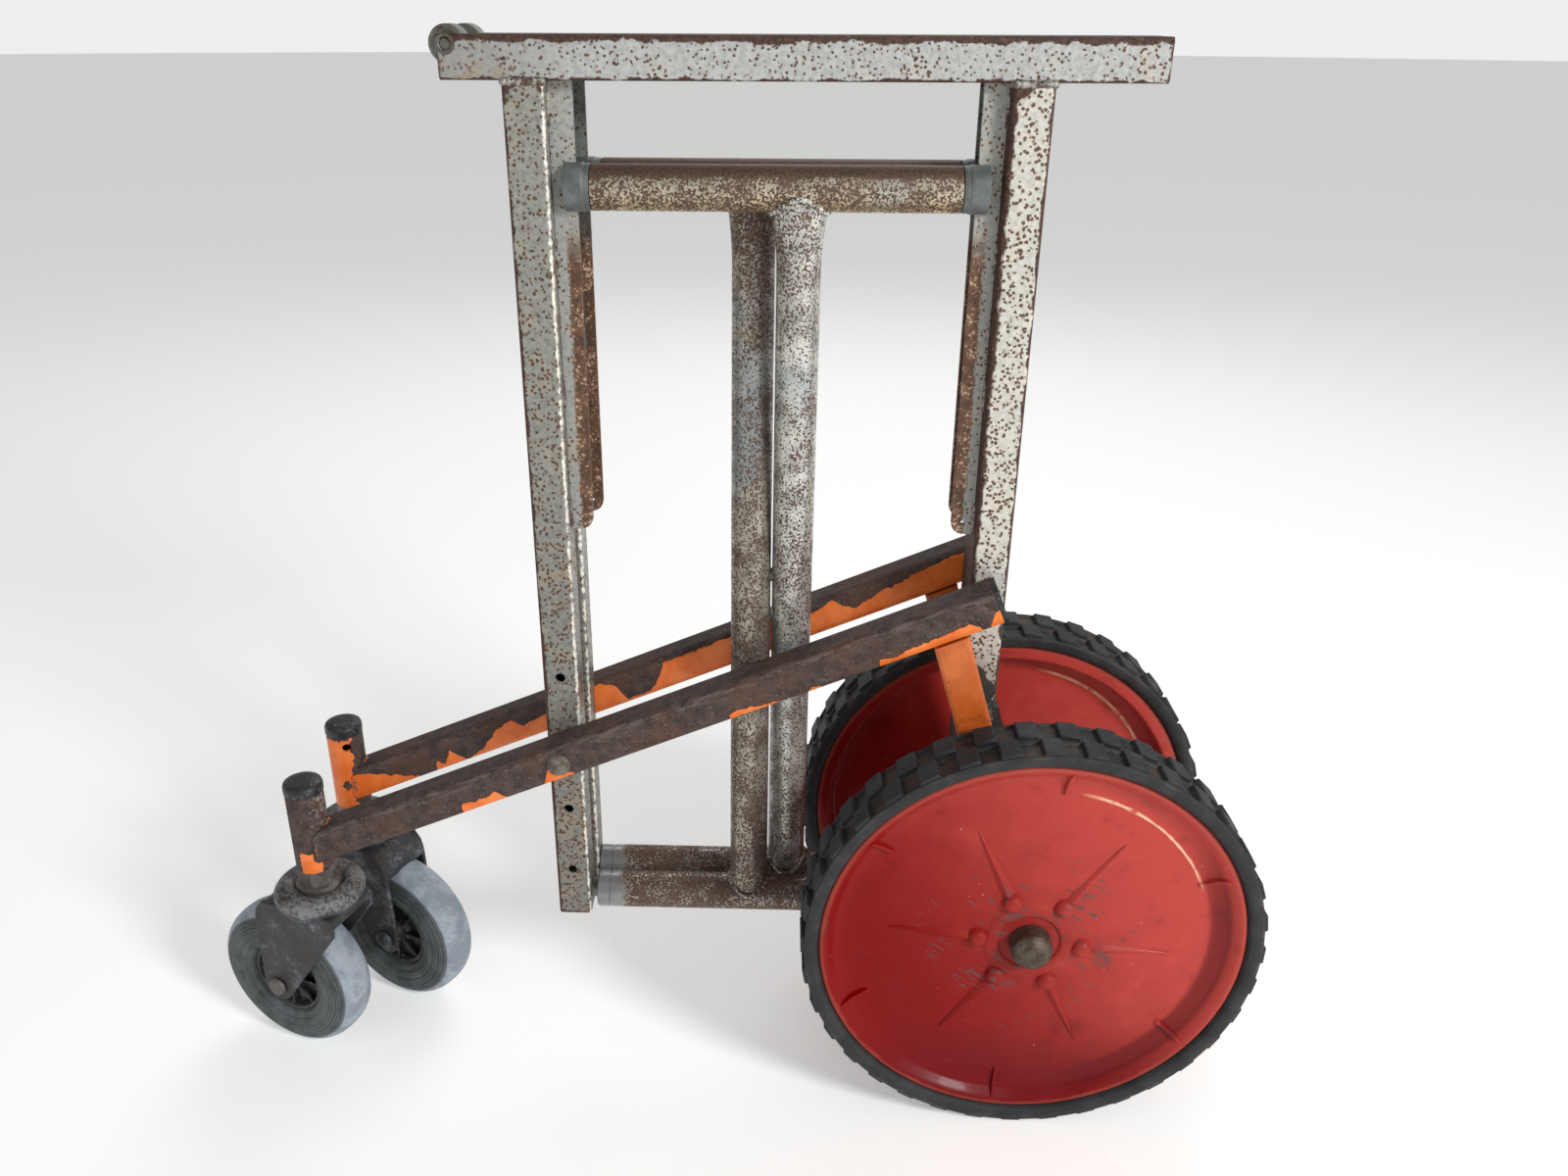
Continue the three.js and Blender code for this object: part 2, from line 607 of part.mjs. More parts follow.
function uprightFrame(side) {
  const out = side === 'near' ? -1 : 1;
  const outward = out > 0 ? 0 : Math.PI; // turns a piece drawn with +Y outward
  const group = new THREE.Group();
  const add = (name, ...rest) => group.add(named(`${side}_${name}`, ...rest));

  add('top_rail', topRail(), 'greyPaint');
  add('front_leg', leg(adjustmentHoles()), 'greyPaint', [-LEG_X, 0, 0]);
  add('rear_leg', leg([]), 'greyPaint', [LEG_X, 0, 0]);
  add('front_guide', guidePlate(), 'rustyPipe', [GAP - LEG_INSIDE, 0, 0]);
  add('rear_guide', guidePlate(), 'rustyPipe', [LEG_INSIDE - GAP, 0, 0], [0, 0, Math.PI]);
  const rodLength = 2 * LEG_X + TUBE;
  add('pivot_rod', rod(ROD_RADIUS, rodLength, 'x'), 'bareSteel', [0, 0, FOOT_Z]);
  add('rail_roller', railRoller(), 'bareSteel', [ROLLER_X, 0, ROLLER_Z]);

  const armY = out * ARM_OUT;
  add('arm', arm(), 'rustyArm', [SLEEVE_X, armY, armZ(SLEEVE_X)]);
  const sleeve = pipe(SLEEVE_TOP - SLEEVE_BOTTOM);
  add('castor_sleeve', sleeve, 'rustyArm', [SLEEVE_X, armY, SLEEVE_BOTTOM]);
  add('sleeve_cap', sleeveCap(), 'blackPlastic', [SLEEVE_X, armY, SLEEVE_TOP]);
  const plugTurn = [0, Math.PI / 2 - ARM_TILT, 0];
  add('arm_plug', armPlug(), 'blackPlastic', [ARM_END_X, armY, armZ(ARM_END_X)], plugTurn);

  const boltSeat = ARM_OUT + ARM / 2 + GAP;
  const nutInside = TUBE / 2 + GAP + NUT_HEIGHT;
  const bolt = carriageBolt(boltSeat + nutInside);
  add('arm_bolt', bolt, 'bareSteel', [-LEG_X, out * boltSeat, ARM_HOLE_Z], [0, 0, outward]);
  const nut = hexNut(NUT_FLATS, NUT_HEIGHT, BOLT_RADIUS + GAP);
  add('arm_nut', nut, 'bareSteel', [-LEG_X, out * (NUT_HEIGHT / 2 - nutInside), ARM_HOLE_Z]);

  const strutTurn = [0, -STRUT_TILT, 0];
  add('wheel_strut', wheelStrut(), 'orangePaint', [WHEEL_X, armY, WHEEL_RADIUS], strutTurn);
  add('strut_strip', strutStrip(), 'darkSteel', [WHEEL_X, armY, WHEEL_RADIUS], strutTurn);
  add('wheel_axle', wheelAxle(), 'bareSteel', [WHEEL_X, 0, WHEEL_RADIUS], [0, 0, outward]);

  const wheelPlace = [WHEEL_X, out * WHEEL_OUT, WHEEL_RADIUS];
  add('tyre', tyre(), 'blackRubber', wheelPlace, [0, 0, outward]);
  add('wheel_disc', wheelDisc(), 'redPlastic', wheelPlace, [0, 0, outward]);
  add('hub_cap', hubCap(), 'bareSteel', wheelPlace, [0, 0, outward]);

  add('castor_stem', castorStem(), 'darkSteel', [SLEEVE_X, armY, 0]);
  const castor = new THREE.Group();
  castor.position.set(SLEEVE_X, armY, 0);
  castor.rotation.z = CASTOR_TURN[side];
  const hub = [CASTOR_TRAIL, 0, CASTOR_RADIUS];
  castor.add(named(`${side}_castor_fork`, castorFork(), 'darkSteel'));
  castor.add(named(`${side}_castor_axle_bolt`, castorAxleBolt(), 'darkSteel', hub));
  castor.add(named(`${side}_castor_tyre`, castorTyre(), 'greyRubber', hub));
  castor.add(named(`${side}_castor_core`, castorCore(), 'blackPlastic', hub));
  group.add(castor);

  group.position.set(out > 0 ? SIDE_PLAY : 0, out * FRAME_PITCH / 2, 0);
  return group;
}

// A T-bar stands on one frame's foot rod and leans to the other frame's guides
function tBar(name, postX, footSide, shift) {
  const group = new THREE.Group();
  const footY = footSide * FRAME_PITCH / 2;
  const tilted = new THREE.Group();
  tilted.position.set(0, footY, FOOT_Z);
  tilted.rotation.x = footSide * TBAR_LEAN;
  tilted.add(named(`${name}_foot_pipe`, footPipe(), 'rustyPipe'));
  tilted.add(named(`${name}_post`, post(), 'rustyPipe', [postX, 0, 0]));
  tilted.add(named(`${name}_crossbar`, crossbar(), 'rustyPipe', [0, 0, TBAR_LENGTH]));
  group.add(tilted);
  const bushX = TBAR_HALF - BUSH_LENGTH / 2;
  const rear = [bushX, -footY, CROSSBAR_Z];
  const front = [-bushX, -footY, CROSSBAR_Z];
  group.add(named(`${name}_rear_bush`, guideBush(), 'greyBush', rear));
  group.add(named(`${name}_front_bush`, guideBush(), 'greyBush', front, [0, 0, Math.PI]));
  group.position.x = shift;
  return group;
}

const carrier = new THREE.Group();
carrier.add(uprightFrame('near'), uprightFrame('far'));
carrier.add(tBar('right_tbar', RIGHT_POST_X, 1, 0));
carrier.add(tBar('left_tbar', LEFT_POST_X - SIDE_PLAY, -1, SIDE_PLAY));

const pivotLength = RIGHT_POST_X - LEFT_POST_X + 2 * PIPE_RADIUS - 2 * GAP;
const pivotPin = rod(PIVOT_RADIUS, pivotLength, 'x');
const pivotPlace = [(LEFT_POST_X + RIGHT_POST_X) / 2, 0, (CROSSBAR_Z + FOOT_Z) / 2];
carrier.add(named('tbar_pivot_pin', pivotPin, 'bareSteel', pivotPlace));
carrier.position.x = FRAME_MIDDLE_X;

export default carrier;
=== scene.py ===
import math

import bmesh
import bpy
from mathutils import Matrix, Vector


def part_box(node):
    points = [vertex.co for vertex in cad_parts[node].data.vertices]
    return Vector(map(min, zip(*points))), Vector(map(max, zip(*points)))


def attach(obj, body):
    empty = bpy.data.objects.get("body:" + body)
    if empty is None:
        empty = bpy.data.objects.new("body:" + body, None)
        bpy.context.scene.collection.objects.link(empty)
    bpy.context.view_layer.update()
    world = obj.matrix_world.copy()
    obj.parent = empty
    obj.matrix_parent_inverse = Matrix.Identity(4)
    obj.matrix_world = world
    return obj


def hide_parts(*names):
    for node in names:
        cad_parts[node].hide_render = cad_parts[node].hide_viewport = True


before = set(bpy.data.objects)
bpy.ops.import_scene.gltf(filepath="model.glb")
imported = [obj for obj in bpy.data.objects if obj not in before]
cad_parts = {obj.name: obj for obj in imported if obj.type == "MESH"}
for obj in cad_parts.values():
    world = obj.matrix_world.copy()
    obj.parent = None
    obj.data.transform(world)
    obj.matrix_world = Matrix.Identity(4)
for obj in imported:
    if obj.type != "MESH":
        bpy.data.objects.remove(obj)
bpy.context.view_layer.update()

MM = 0.001
OUTWARD = {"near": -1, "far": 1}  # way along Y from between the frames
ARM_TILT = 23.04  # degrees
TUBE = 15  # half the width of the square tube
PIPE = 16.85  # radius of the pipes
TBAR_REACH = 155  # half the length of a foot pipe
FOOT_CUP = 6.5  # reach of the cup past the end of a foot pipe
CASTOR_TRAIL = 44  # from the swivel axis to the axle
CASTOR_AXLE = 77  # height of the axle


# ---- Shapes, drawn in millimetres ----


def rounded(outline, reach, closed=False):
    """The outline with curved corners, each starting reach before its corner."""
    points = [Vector(point) for point in outline]
    made = []
    for i, corner in enumerate(points):
        if not closed and i in (0, len(points) - 1):
            made.append(corner)
            continue
        back = points[i - 1] - corner
        on = points[(i + 1) % len(points)] - corner
        cut = min(reach, back.length * 0.45, on.length * 0.45)
        start = corner + back.normalized() * cut
        end = corner + on.normalized() * cut
        for t in (0, 1 / 3, 2 / 3, 1):
            made.append(start.lerp(corner, t).lerp(corner.lerp(end, t), t))
    if closed:
        made.append(made[0])
    return made


def mirrored(half, *middle):
    """The whole of an outline from one half: the half, its middle, and the half turned over."""
    return [*half, *middle, *((radius, -across) for radius, across in reversed(half))]


def turned(outline, steps=64):
    """A body turned about Z from its (radius, height) outline."""
    bm = bmesh.new()
    verts = [bm.verts.new((radius, 0, height)) for radius, height in outline]
    edges = [bm.edges.new(pair) for pair in zip(verts, verts[1:])]
    bmesh.ops.spin(
        bm, geom=verts + edges, cent=(0, 0, 0), axis=(0, 0, 1), dvec=(0, 0, 0),
        angle=math.tau, steps=steps, use_merge=True,
    )
    bmesh.ops.remove_doubles(bm, verts=bm.verts, dist=1e-4)
    return bm


def placed(bm, matrix):
    bmesh.ops.transform(bm, matrix=matrix, verts=bm.verts)
    return bm


def moved(bm, x=0, y=0, z=0):
    return placed(bm, Matrix.Translation((x, y, z)))


def swung(bm, degrees, axis):
    return placed(bm, Matrix.Rotation(math.radians(degrees), 4, axis))


def joined(*parts):
    """One mesh holding all the parts."""
    whole = bmesh.new()
    for part in parts:
        mesh = bpy.data.meshes.new("part")
        part.to_mesh(mesh)
        part.free()
        whole.from_mesh(mesh)
        bpy.data.meshes.remove(mesh)
    return whole


def softened(bm, width, segments=2, sharper_than=25):
    """Bevels the edges whose faces meet at more than that angle."""
    limit = math.radians(sharper_than)
    edges = [edge for edge in bm.edges if edge.calc_face_angle(0) > limit]
    bmesh.ops.bevel(
        bm, geom=edges, offset=width, offset_type="OFFSET", segments=segments,
        profile=0.5, affect="EDGES", clamp_overlap=True, material=-1,
    )
    return bm


def block(x, y, z, soft=0.0, segments=2):
    bm = bmesh.new()
    bmesh.ops.create_cube(bm, size=1, matrix=Matrix.Diagonal((x, y, z, 1)))
    return softened(bm, soft, segments) if soft else bm


def plate(outline, thickness):
    """A flat plate in the XZ plane, its thickness centred on Y."""
    bm = bmesh.new()
    face = bm.faces.new([bm.verts.new((x, -thickness / 2, z)) for x, z in outline])
    grown = bmesh.ops.extrude_face_region(bm, geom=[face])["geom"]
    verts = [item for item in grown if isinstance(item, bmesh.types.BMVert)]
    bmesh.ops.translate(bm, verts=verts, vec=(0, thickness, 0))
    bmesh.ops.recalc_face_normals(bm, faces=bm.faces)
    return bm


def hex_nut(flats, height):
    """A nut standing on z = 0."""
    bm = bmesh.new()
    corner = flats / math.sqrt(3)
    bmesh.ops.create_cone(
        bm, cap_ends=True, segments=6, radius1=corner, radius2=corner, depth=height,
    )
    return moved(bm, z=height / 2)


def linked(name, data):
    """A new object in the scene that holds the data."""
    made = bpy.data.objects.new(name, data)
    bpy.context.scene.collection.objects.link(made)
    return made


def carved(body, tool):
    """The body with the tool's shape cut out of it."""
    carvings = []
    for bm in (body, tool):
        bmesh.ops.recalc_face_normals(bm, faces=bm.faces)
        mesh = bpy.data.meshes.new("carving")
        bm.to_mesh(mesh)
        bm.free()
        carvings.append(linked("carving", mesh))
    cut = carvings[0].modifiers.new("cut", "BOOLEAN")
    cut.operation = "DIFFERENCE"
    cut.solver = "EXACT"
    cut.object = carvings[1]
    result = bmesh.new()
    result.from_object(carvings[0], bpy.context.evaluated_depsgraph_get())
    for carving in carvings:
        mesh = carving.data
        bpy.data.objects.remove(carving)
        bpy.data.meshes.remove(mesh)
    return result


def weld(points, radius):
    """A run of weld: overlapping drops along a line."""
    bm = bmesh.new()
    drops = 0
    for start, end in zip(points, points[1:]):
        start, end = Vector(start), Vector(end)
        count = max(1, round((end - start).length / (0.75 * radius)))
        for i in range(count):
            drops += 1
            size = radius * (1 + 0.14 * math.sin(2.4 * drops))
            middle = start.lerp(end, (i + 0.5) / count)
            bmesh.ops.create_icosphere(
                bm, subdivisions=2, radius=size, matrix=Matrix.Translation(middle),
            )
    return bm


def piece(name, bm, body, material, stands_for=(), sharp=32):
    """Finishes a shape as a piece of the carrier that rides on a body."""
    bmesh.ops.recalc_face_normals(bm, faces=bm.faces)
    bmesh.ops.scale(bm, vec=(MM, MM, MM), verts=bm.verts)
    mesh = bpy.data.meshes.new(name)
    bm.to_mesh(mesh)
    bm.free()
    mesh.shade_smooth()
    mesh.set_sharp_from_angle(angle=math.radians(sharp))
    mesh.materials.append(material)
    made = linked(name, mesh)
    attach(made, body)
    if stands_for:
        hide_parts(*stands_for)
    return made


def dress(material, *nodes):
    for name in nodes:
        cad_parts[name].material_slots[0].material = material


# ---- Places, in millimetres, from the frame ----


def spot(node):
    """The middle of a node's box."""
    low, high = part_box(node)
    return (low + high) * 500


def lowest(node):
    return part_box(node)[0] * 1000


def highest(node):
    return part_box(node)[1] * 1000


def wheel_place(node, side):
    """Puts a body turned about Z on a wheel's axle, its +Z outward."""
    return Matrix.Translation(spot(node)) @ Matrix.Rotation(-OUTWARD[side] * math.pi / 2, 4, "X")


def castor_turn(side):
    stem, hub = spot(f"{side}_castor_stem"), spot(f"{side}_castor_tyre")
    return math.atan2(hub.y - stem.y, hub.x - stem.x)


def castor_place(side):
    """Puts a body drawn about the swivel axis, its wheel trailing to +X, on its castor."""
    stem = spot(f"{side}_castor_stem")
    return Matrix.Translation((stem.x, stem.y, 0)) @ Matrix.Rotation(castor_turn(side), 4, "Z")


def axle_place(side):
    """Puts a body drawn about its own axle on a castor's axle."""
    return castor_place(side) @ Matrix.Translation((CASTOR_TRAIL, 0, CASTOR_AXLE))


def tbar_place(name):
    """Puts a body drawn up Z from the middle of the foot pipe on its T-bar."""
    foot, top = spot(f"{name}_foot_pipe"), spot(f"{name}_crossbar")
    lean = math.atan2(foot.y - top.y, top.z - foot.z)
    return Matrix.Translation(foot) @ Matrix.Rotation(lean, 4, "X")


def tbar_length(name):
    return (spot(f"{name}_crossbar") - spot(f"{name}_foot_pipe")).length


# ---- Finishes ----


def paint(code):
    """The linear colour of six hexadecimal digits."""
    parts = [int(code[i : i + 2], 16) / 255 for i in (0, 2, 4)]
    return (*(c / 12.92 if c <= 0.04045 else ((c + 0.055) / 1.055) ** 2.4 for c in parts), 1.0)


class Value:
    """A number that flows through a finish, for use in ordinary sums."""

    def __init__(self, finish, socket):
        self.finish = finish
        self.socket = socket

    def math(self, operation, first, second=0.0):
        return self.finish.node("ShaderNodeMath", {"operation": operation}, {0: first, 1: second})

    def __add__(self, other):
        return self.math("ADD", self, other)

    def __sub__(self, other):
        return self.math("SUBTRACT", self, other)

    def __mul__(self, other):
        return self.math("MULTIPLY", self, other)

    def __rsub__(self, other):
        return self.math("SUBTRACT", other, self)

    def __truediv__(self, other):
        return self.math("DIVIDE", self, other)

    def __pow__(self, other):
        return self.math("POWER", self, other)

    def __abs__(self):
        return self.math("ABSOLUTE", self)

    __radd__ = __add__
    __rmul__ = __mul__

    def or_more(self, other):
        return self.math("MAXIMUM", self, other)

    def or_less(self, other):
        return self.math("MINIMUM", self, other)


class Finish:
    """The nodes of one material, whose patterns are measured in millimetres."""

    def __init__(self, name):
        self.material = bpy.data.materials.new(name)
        self.material.use_nodes = True
        self.tree = self.material.node_tree
        self.shader = self.tree.nodes["Principled BSDF"]

    def feed(self, socket, value):
        if isinstance(value, Value):
            self.tree.links.new(value.socket, socket)
        else:
            socket.default_value = value

    def node(self, kind, settings, inputs, output=0):
        made = self.tree.nodes.new(kind)
        for key, value in settings.items():
            if key == "stops":
                self.set_stops(made.color_ramp, value)
            else:
                setattr(made, key, value)
        for key, value in inputs.items():
            self.feed(made.inputs[key], value)
        if output == "all":
            return [Value(self, socket) for socket in made.outputs]
        return Value(self, made.outputs[output])

    def set_stops(self, ramp, stops):
        for _ in stops[2:]:
            ramp.elements.new(0.5)
        for element, (position, level) in zip(ramp.elements, stops):
            element.position = position
        for element, (position, level) in zip(ramp.elements, stops):
            element.color = (level, level, level, 1)

    def place(self, centre=(0, 0, 0), turn=(0, 0, 0), stretch=(1, 1, 1)):
        """Where a point lies from centre, along axes turned by degrees."""
        coordinates = self.node("ShaderNodeTexCoord", {}, {}, "Object")
        return self.node("ShaderNodeMapping", {"vector_type": "TEXTURE"}, {
            "Vector": coordinates,
            "Location": [MM * c for c in centre],
            "Rotation": [math.radians(angle) for angle in turn],
            "Scale": [MM * s for s in stretch],
        })

    def axes(self, place):
        return self.node("ShaderNodeSeparateXYZ", {}, {0: place}, "all")

    def cloud(self, place, size, detail=3.0, rough=0.55):
        """Soft lumps about that size."""
        inputs = {"Vector": place, "Scale": 1 / size, "Detail": detail, "Roughness": rough}
        return self.node("ShaderNodeTexNoise", {}, inputs)

    def cells(self, place, size):
        """Distance from scattered points about that far apart."""
        return self.node("ShaderNodeTexVoronoi", {}, {"Vector": place, "Scale": 1 / size})

    def step(self, value, low, high):
        """0 up to low, then a smooth rise to 1 at high."""
        inputs = {"Value": value, "From Min": low, "From Max": high}
        return self.node("ShaderNodeMapRange", {"interpolation_type": "SMOOTHSTEP"}, inputs)

    def mix(self, first, second, share):
        settings = {"data_type": "RGBA", "clamp_factor": True}
        return self.node("ShaderNodeMix", settings, {0: share, 6: first, 7: second}, 2)

    def coats(self, ground, *coats):
        """The ground colour under coats, each a colour and its share."""
        for colour, share in coats:
            ground = self.mix(ground, colour, share)
        return ground

    def height_along(self, value, length, profile, span):
        """A height read off a profile of (distance, height) points, up to span either way."""
        stops = [(at / length, 0.5 + height / (2 * span)) for at, height in profile]
        ramp = self.node("ShaderNodeValToRGB", {"stops": stops}, {0: value / length})
        return (ramp - 0.5) * (2 * span)

    def made(self, colour, rough, relief=None, depth=0.2, soften=0.0, **fixed):
        """Sets the shader: relief is a height from 0 to 1 that stands depth millimetres."""
        self.feed(self.shader.inputs["Base Color"], colour)
        self.feed(self.shader.inputs["Roughness"], rough)
        for name, value in fixed.items():
            self.feed(self.shader.inputs[name.replace("_", " ")], value)
        normal = None
        if soften:
            normal = self.node("ShaderNodeBevel", {"samples": 4}, {"Radius": soften * MM})
        if relief is not None:
            inputs = {"Height": relief, "Distance": depth * MM, "Strength": 1.0}
            if normal:
                inputs["Normal"] = normal
            normal = self.node("ShaderNodeBump", {}, inputs)
        if normal:
            self.feed(self.shader.inputs["Normal"], normal)
        return self.material


def hammered(f, place, tone, freckles, grade):
    """Grey hammered paint with brown freckles: its colour, the freckles and the hammer marks."""
    light, dark, cream = tone
    broad = f.cloud(place, 80, 4)
    blotch = f.cloud(place, 16, 4)
    hammer = f.cloud(place, 4.5, 2)
    dots = f.cloud(place, 2.2, 3, 0.6)
    colour = f.coats(
        f.mix(paint(light), paint(dark), (f.step(hammer, 0.36, 0.68) * 0.7 + grade * 0.5).or_less(1)),
        (paint(cream), f.step(blotch + (broad - 0.5) * 0.6, 0.5, 0.7) * 0.45),
        (paint("A58558"), f.step(broad + (blotch - 0.5) * 0.5, 0.62, 0.76) * 0.3),
    )
    reach = freckles + (blotch - 0.5) * 0.32 + (broad - 0.5) * 0.22 + (dots - 0.5) * 0.8 + grade * 0.06
    spare = reach - f.cells(place, 3.6)
    freckle = f.step(spare, 0.0, 0.07)
    tinge = f.step(spare, -0.13, 0.02)
    brown = f.mix(paint("6A4630"), paint("3C2920"), f.step(dots, 0.4, 0.62))
    colour = f.coats(
        colour, (paint("55564F"), grade * 0.3), (paint("93765A"), tinge * 0.42), (brown, freckle * 0.92),
    )
    return colour, freckle, hammer


def rust_patch(f, place):
    """Solid dark rust with a little paint left in it."""
    grit = f.cloud(place, 3, 3, 0.6)
    return f.coats(
        f.mix(paint("3E2B24"), paint("543A2E"), f.step(grit, 0.4, 0.6)),
        (paint("8E8274"), f.step(grit, 0.66, 0.72) * 0.6),
    )


def tube_paint(f, colour, hammer, freckle, rusty):
    """Hammered paint on square tube, rougher where it is freckled or rusty."""
    relief = hammer * 0.9 - freckle * 0.4 - rusty * 0.3
    return f.made(colour, 0.36 + freckle * 0.3 + rusty * 0.3, relief, 0.6, 1.4, Metallic=0.25)


def leg_paint(side, end, tone, freckles):
    """A leg: brown down its outer edge, pale down its inner one with wear and a painted highlight, and
    darker lower down.
    """
    f = Finish(f"{side}_{end}_leg_paint")
    node = f"{side}_{end}_leg"
    middle, low, high = spot(node), lowest(node), highest(node)
    inward = 1 if end == "front" else -1
    place = f.place()
    x, y, z = f.axes(place)
    # Darker lower down: fully on the front leg, a little on the rear.
    grade = (1 - f.step(z, low.z, high.z)) * (1 if end == "front" else 0.15)
    colour, freckle, hammer = hammered(f, place, tone, freckles, grade)
    ragged = f.cloud(place, 5, 3)
    lumps = f.cloud(place, 16, 4, 0.6)
    inner_face, outer_face = middle.x + inward * TUBE, middle.x - inward * TUBE
    inner = abs(x - inner_face) + abs(y - low.y) * 0.8
    outer = abs(x - outer_face) + abs(y - low.y) * 0.3
    side_on = abs(x - inner_face) + (lumps - 0.5) * 12
    if end == "front":
        by_edge = f.step(lumps, 0.56, 0.64) * (1 - f.step(inner, 5, 8)) * f.step(z, 560, 700)
        # Pale line down the inner corners, front and rear: wear, with a painted highlight on the corner.
        worn = 1 - f.step(inner + (ragged - 0.5) * 5, 1.6, 2.6)
        seam = abs(x - inner_face) + abs(y - high.y) * 0.8
        worn = worn.or_more(1 - f.step(seam + (ragged - 0.5) * 6, 1.0, 2.0))
    else:
        by_edge = 1 - f.step(side_on, 2.4, 4.6)
        worn = 0 * inner
    rusty = by_edge.or_more(1 - f.step(outer + (lumps - 0.5) * 9, 2.0, 3.2))
    top = f.step(z + (lumps - 0.5) * 26 - abs(x - (middle.x - 12)) * 0.6, high.z - 13, high.z - 9)
    rusty = rusty.or_more(top)
    foot = f.step(low.z + 3 - z + (lumps - 0.5) * 6, 0, 1.5)
    rusty = rusty.or_more(foot * 0.7)
    colour = f.coats(colour, (rust_patch(f, place), rusty), (paint("F3ECDF"), worn))
    return tube_paint(f, colour, hammer, freckle, rusty)


def rail_paint(side):
    """The rail: paler than the legs, its top face and lower edge rubbed down to rust."""
    f = Finish(f"{side}_rail_paint")
    node = f"{side}_top_rail"
    low, high = lowest(node), highest(node)
    place = f.place()
    x, _, z = f.axes(place)
    colour, freckle, hammer = hammered(f, place, ("B9BAB7", "9B9D9B", "C4BFB2"), 0.3, 0 * z)
    lumps = f.cloud(place, 13, 5, 0.6)
    top = f.step(z + (lumps - 0.5) * 13, high.z - 5.6, high.z - 4.2)
    bottom = 1 - f.step(z + (lumps - 0.5) * 11, low.z + 1.0, low.z + 2.2)
    middle, half = (low.x + high.x) / 2, (high.x - low.x) / 2
    ends = f.step(abs(x - middle) + (lumps - 0.5) * 9, half - 2.5, half)
    chips = f.step(lumps + (f.cloud(place, 60, 2) - 0.5) * 0.4, 0.72, 0.735)
    rusty = top.or_more(bottom).or_more(ends).or_more(chips)
    stain = (1 - f.step(x, low.x + 20, low.x + 75)) * (1 - f.step(z, low.z + 4, low.z + 18))
    colour = f.coats(
        colour,
        (paint("B08A4A"), stain * f.step(lumps, 0.4, 0.6) * 0.6),
        # Darker grey over the left end of the rail.
        (paint("74726E"), (1 - f.step(x, low.x + 15, low.x + 130)) * 0.5),
        (rust_patch(f, place), rusty),
    )
    return tube_paint(f, colour, hammer, freckle, rusty)


def guide_finish(name, weld_x, bare_x, bar_z, tone):
    """Flat bar, painted by its weld and above the crossbar, rubbed brown where the bush slides."""
    f = Finish(name)
    place = f.place()
    x, _, z = f.axes(place)
    blotch = f.cloud(place, 12, 4)
    dots = f.cloud(place, 2.4, 3, 0.6)
    across = abs(x - weld_x) / abs(bare_x - weld_x)
    below = 1 - f.step(z + (blotch - 0.5) * 30, bar_z - 60, bar_z - 15)
    rubbed = f.step(across + (blotch - 0.5) * 0.45 + (dots - 0.5) * 0.3, 0.42, 0.56) * below
    low_end = 1 - f.step(z, bar_z - 330, bar_z - 240)
    grey, _, _ = hammered(f, place, tone, 0.28, 0 * z)
    brown = f.coats(
        f.mix(paint("573C2C"), paint("72503A"), f.step(blotch, 0.4, 0.6)),
        (paint("C9B89E"), f.step(dots + (blotch - 0.5) * 0.5 + low_end * 0.12, 0.58, 0.68) * 0.8),
        (paint("33231C"), 1 - f.step(dots, 0.34, 0.42)),
    )
    return f.made(f.mix(grey, brown, rubbed), 0.45 + dots * 0.3, dots, 0.3, 0.8, Metallic=0.25)


def pipe_finish(name, light, dark, rust, clean_at=None, top_of=None):
    """Painted pipe, freckled to solid rust: cleaner by clean_at, bare brown on the top of a bar."""
    f = Finish(name)
    place = f.place()
    x, _, z = f.axes(place)
    broad = f.cloud(place, 90, 4)
    blotch = f.cloud(place, 18, 4)
    dots = f.cloud(place, 1.9, 3, 0.55)
    fine = f.cloud(place, 1.6, 2)
    colour = f.coats(
        f.mix(paint(light), paint(dark), f.step(blotch, 0.36, 0.66)),
        (paint("D8CCB0"), f.step(dots, 0.5, 0.6) * 0.5),
        (paint("8FA0AC"), f.step(1 - broad, 0.55, 0.66) * 0.4),
    )
    spread = dots + (blotch - 0.5) * 0.22 + (broad - 0.5) * 0.25
    eaten = f.step(spread, 0.7 - rust, 0.75 - rust)
    if top_of:
        rise = (z - top_of) / PIPE + (blotch - 0.5) * 0.6 + (dots - 0.5) * 0.5
        eaten = eaten.or_more(f.step(rise, 0.3, 0.55))
        colour = f.mix(colour, paint("B98F55"), (1 - f.step(rise, -0.9, -0.1)) * 0.45)
    if clean_at:
        centre, reach = clean_at
        ragged = (blotch - 0.5) * 16 + (dots - 0.5) * 22
        clean = 1 - f.step(abs(x - centre) + ragged, reach - 5, reach + 3)
        eaten = eaten * (1 - clean)
        colour = f.mix(colour, paint("7D8286"), clean * 0.8)
    brown = f.mix(paint("3F2D26"), paint("664B3C"), f.step(fine + blotch * 0.4, 0.55, 0.85))
    colour = f.mix(colour, brown, eaten * 0.95)
    relief = dots * 0.4 - eaten * 0.5
    return f.made(colour, 0.25 + eaten * 0.34, relief, 0.35, Metallic=0.45)


def rusty_brown(f, place):
    """Old brown rust on thick steel, as a colour and a roughness map."""
    broad = f.cloud(place, 55, 4)
    blotch = f.cloud(place, 11, 4)
    grit = f.cloud(place, 2.4, 3, 0.65)
    streak = f.cloud(f.place(stretch=(4, 1, 1)), 3.5, 3)
    colour = f.coats(
        f.mix(paint("3A2D29"), paint("4D3E39"), f.step(blotch, 0.38, 0.62)),
        (paint("57392C"), f.step(broad, 0.48, 0.62) * 0.7),
        (paint("716560"), f.step(grit + (streak - 0.5) * 0.6, 0.58, 0.72) * 0.6),
        (paint("211917"), 1 - f.step(grit + (blotch - 0.5) * 0.3, 0.3, 0.42)),
        (paint("6E4227"), f.step(blotch + (grit - 0.5) * 0.5, 0.66, 0.74) * 0.55),
    )
    return colour, grit


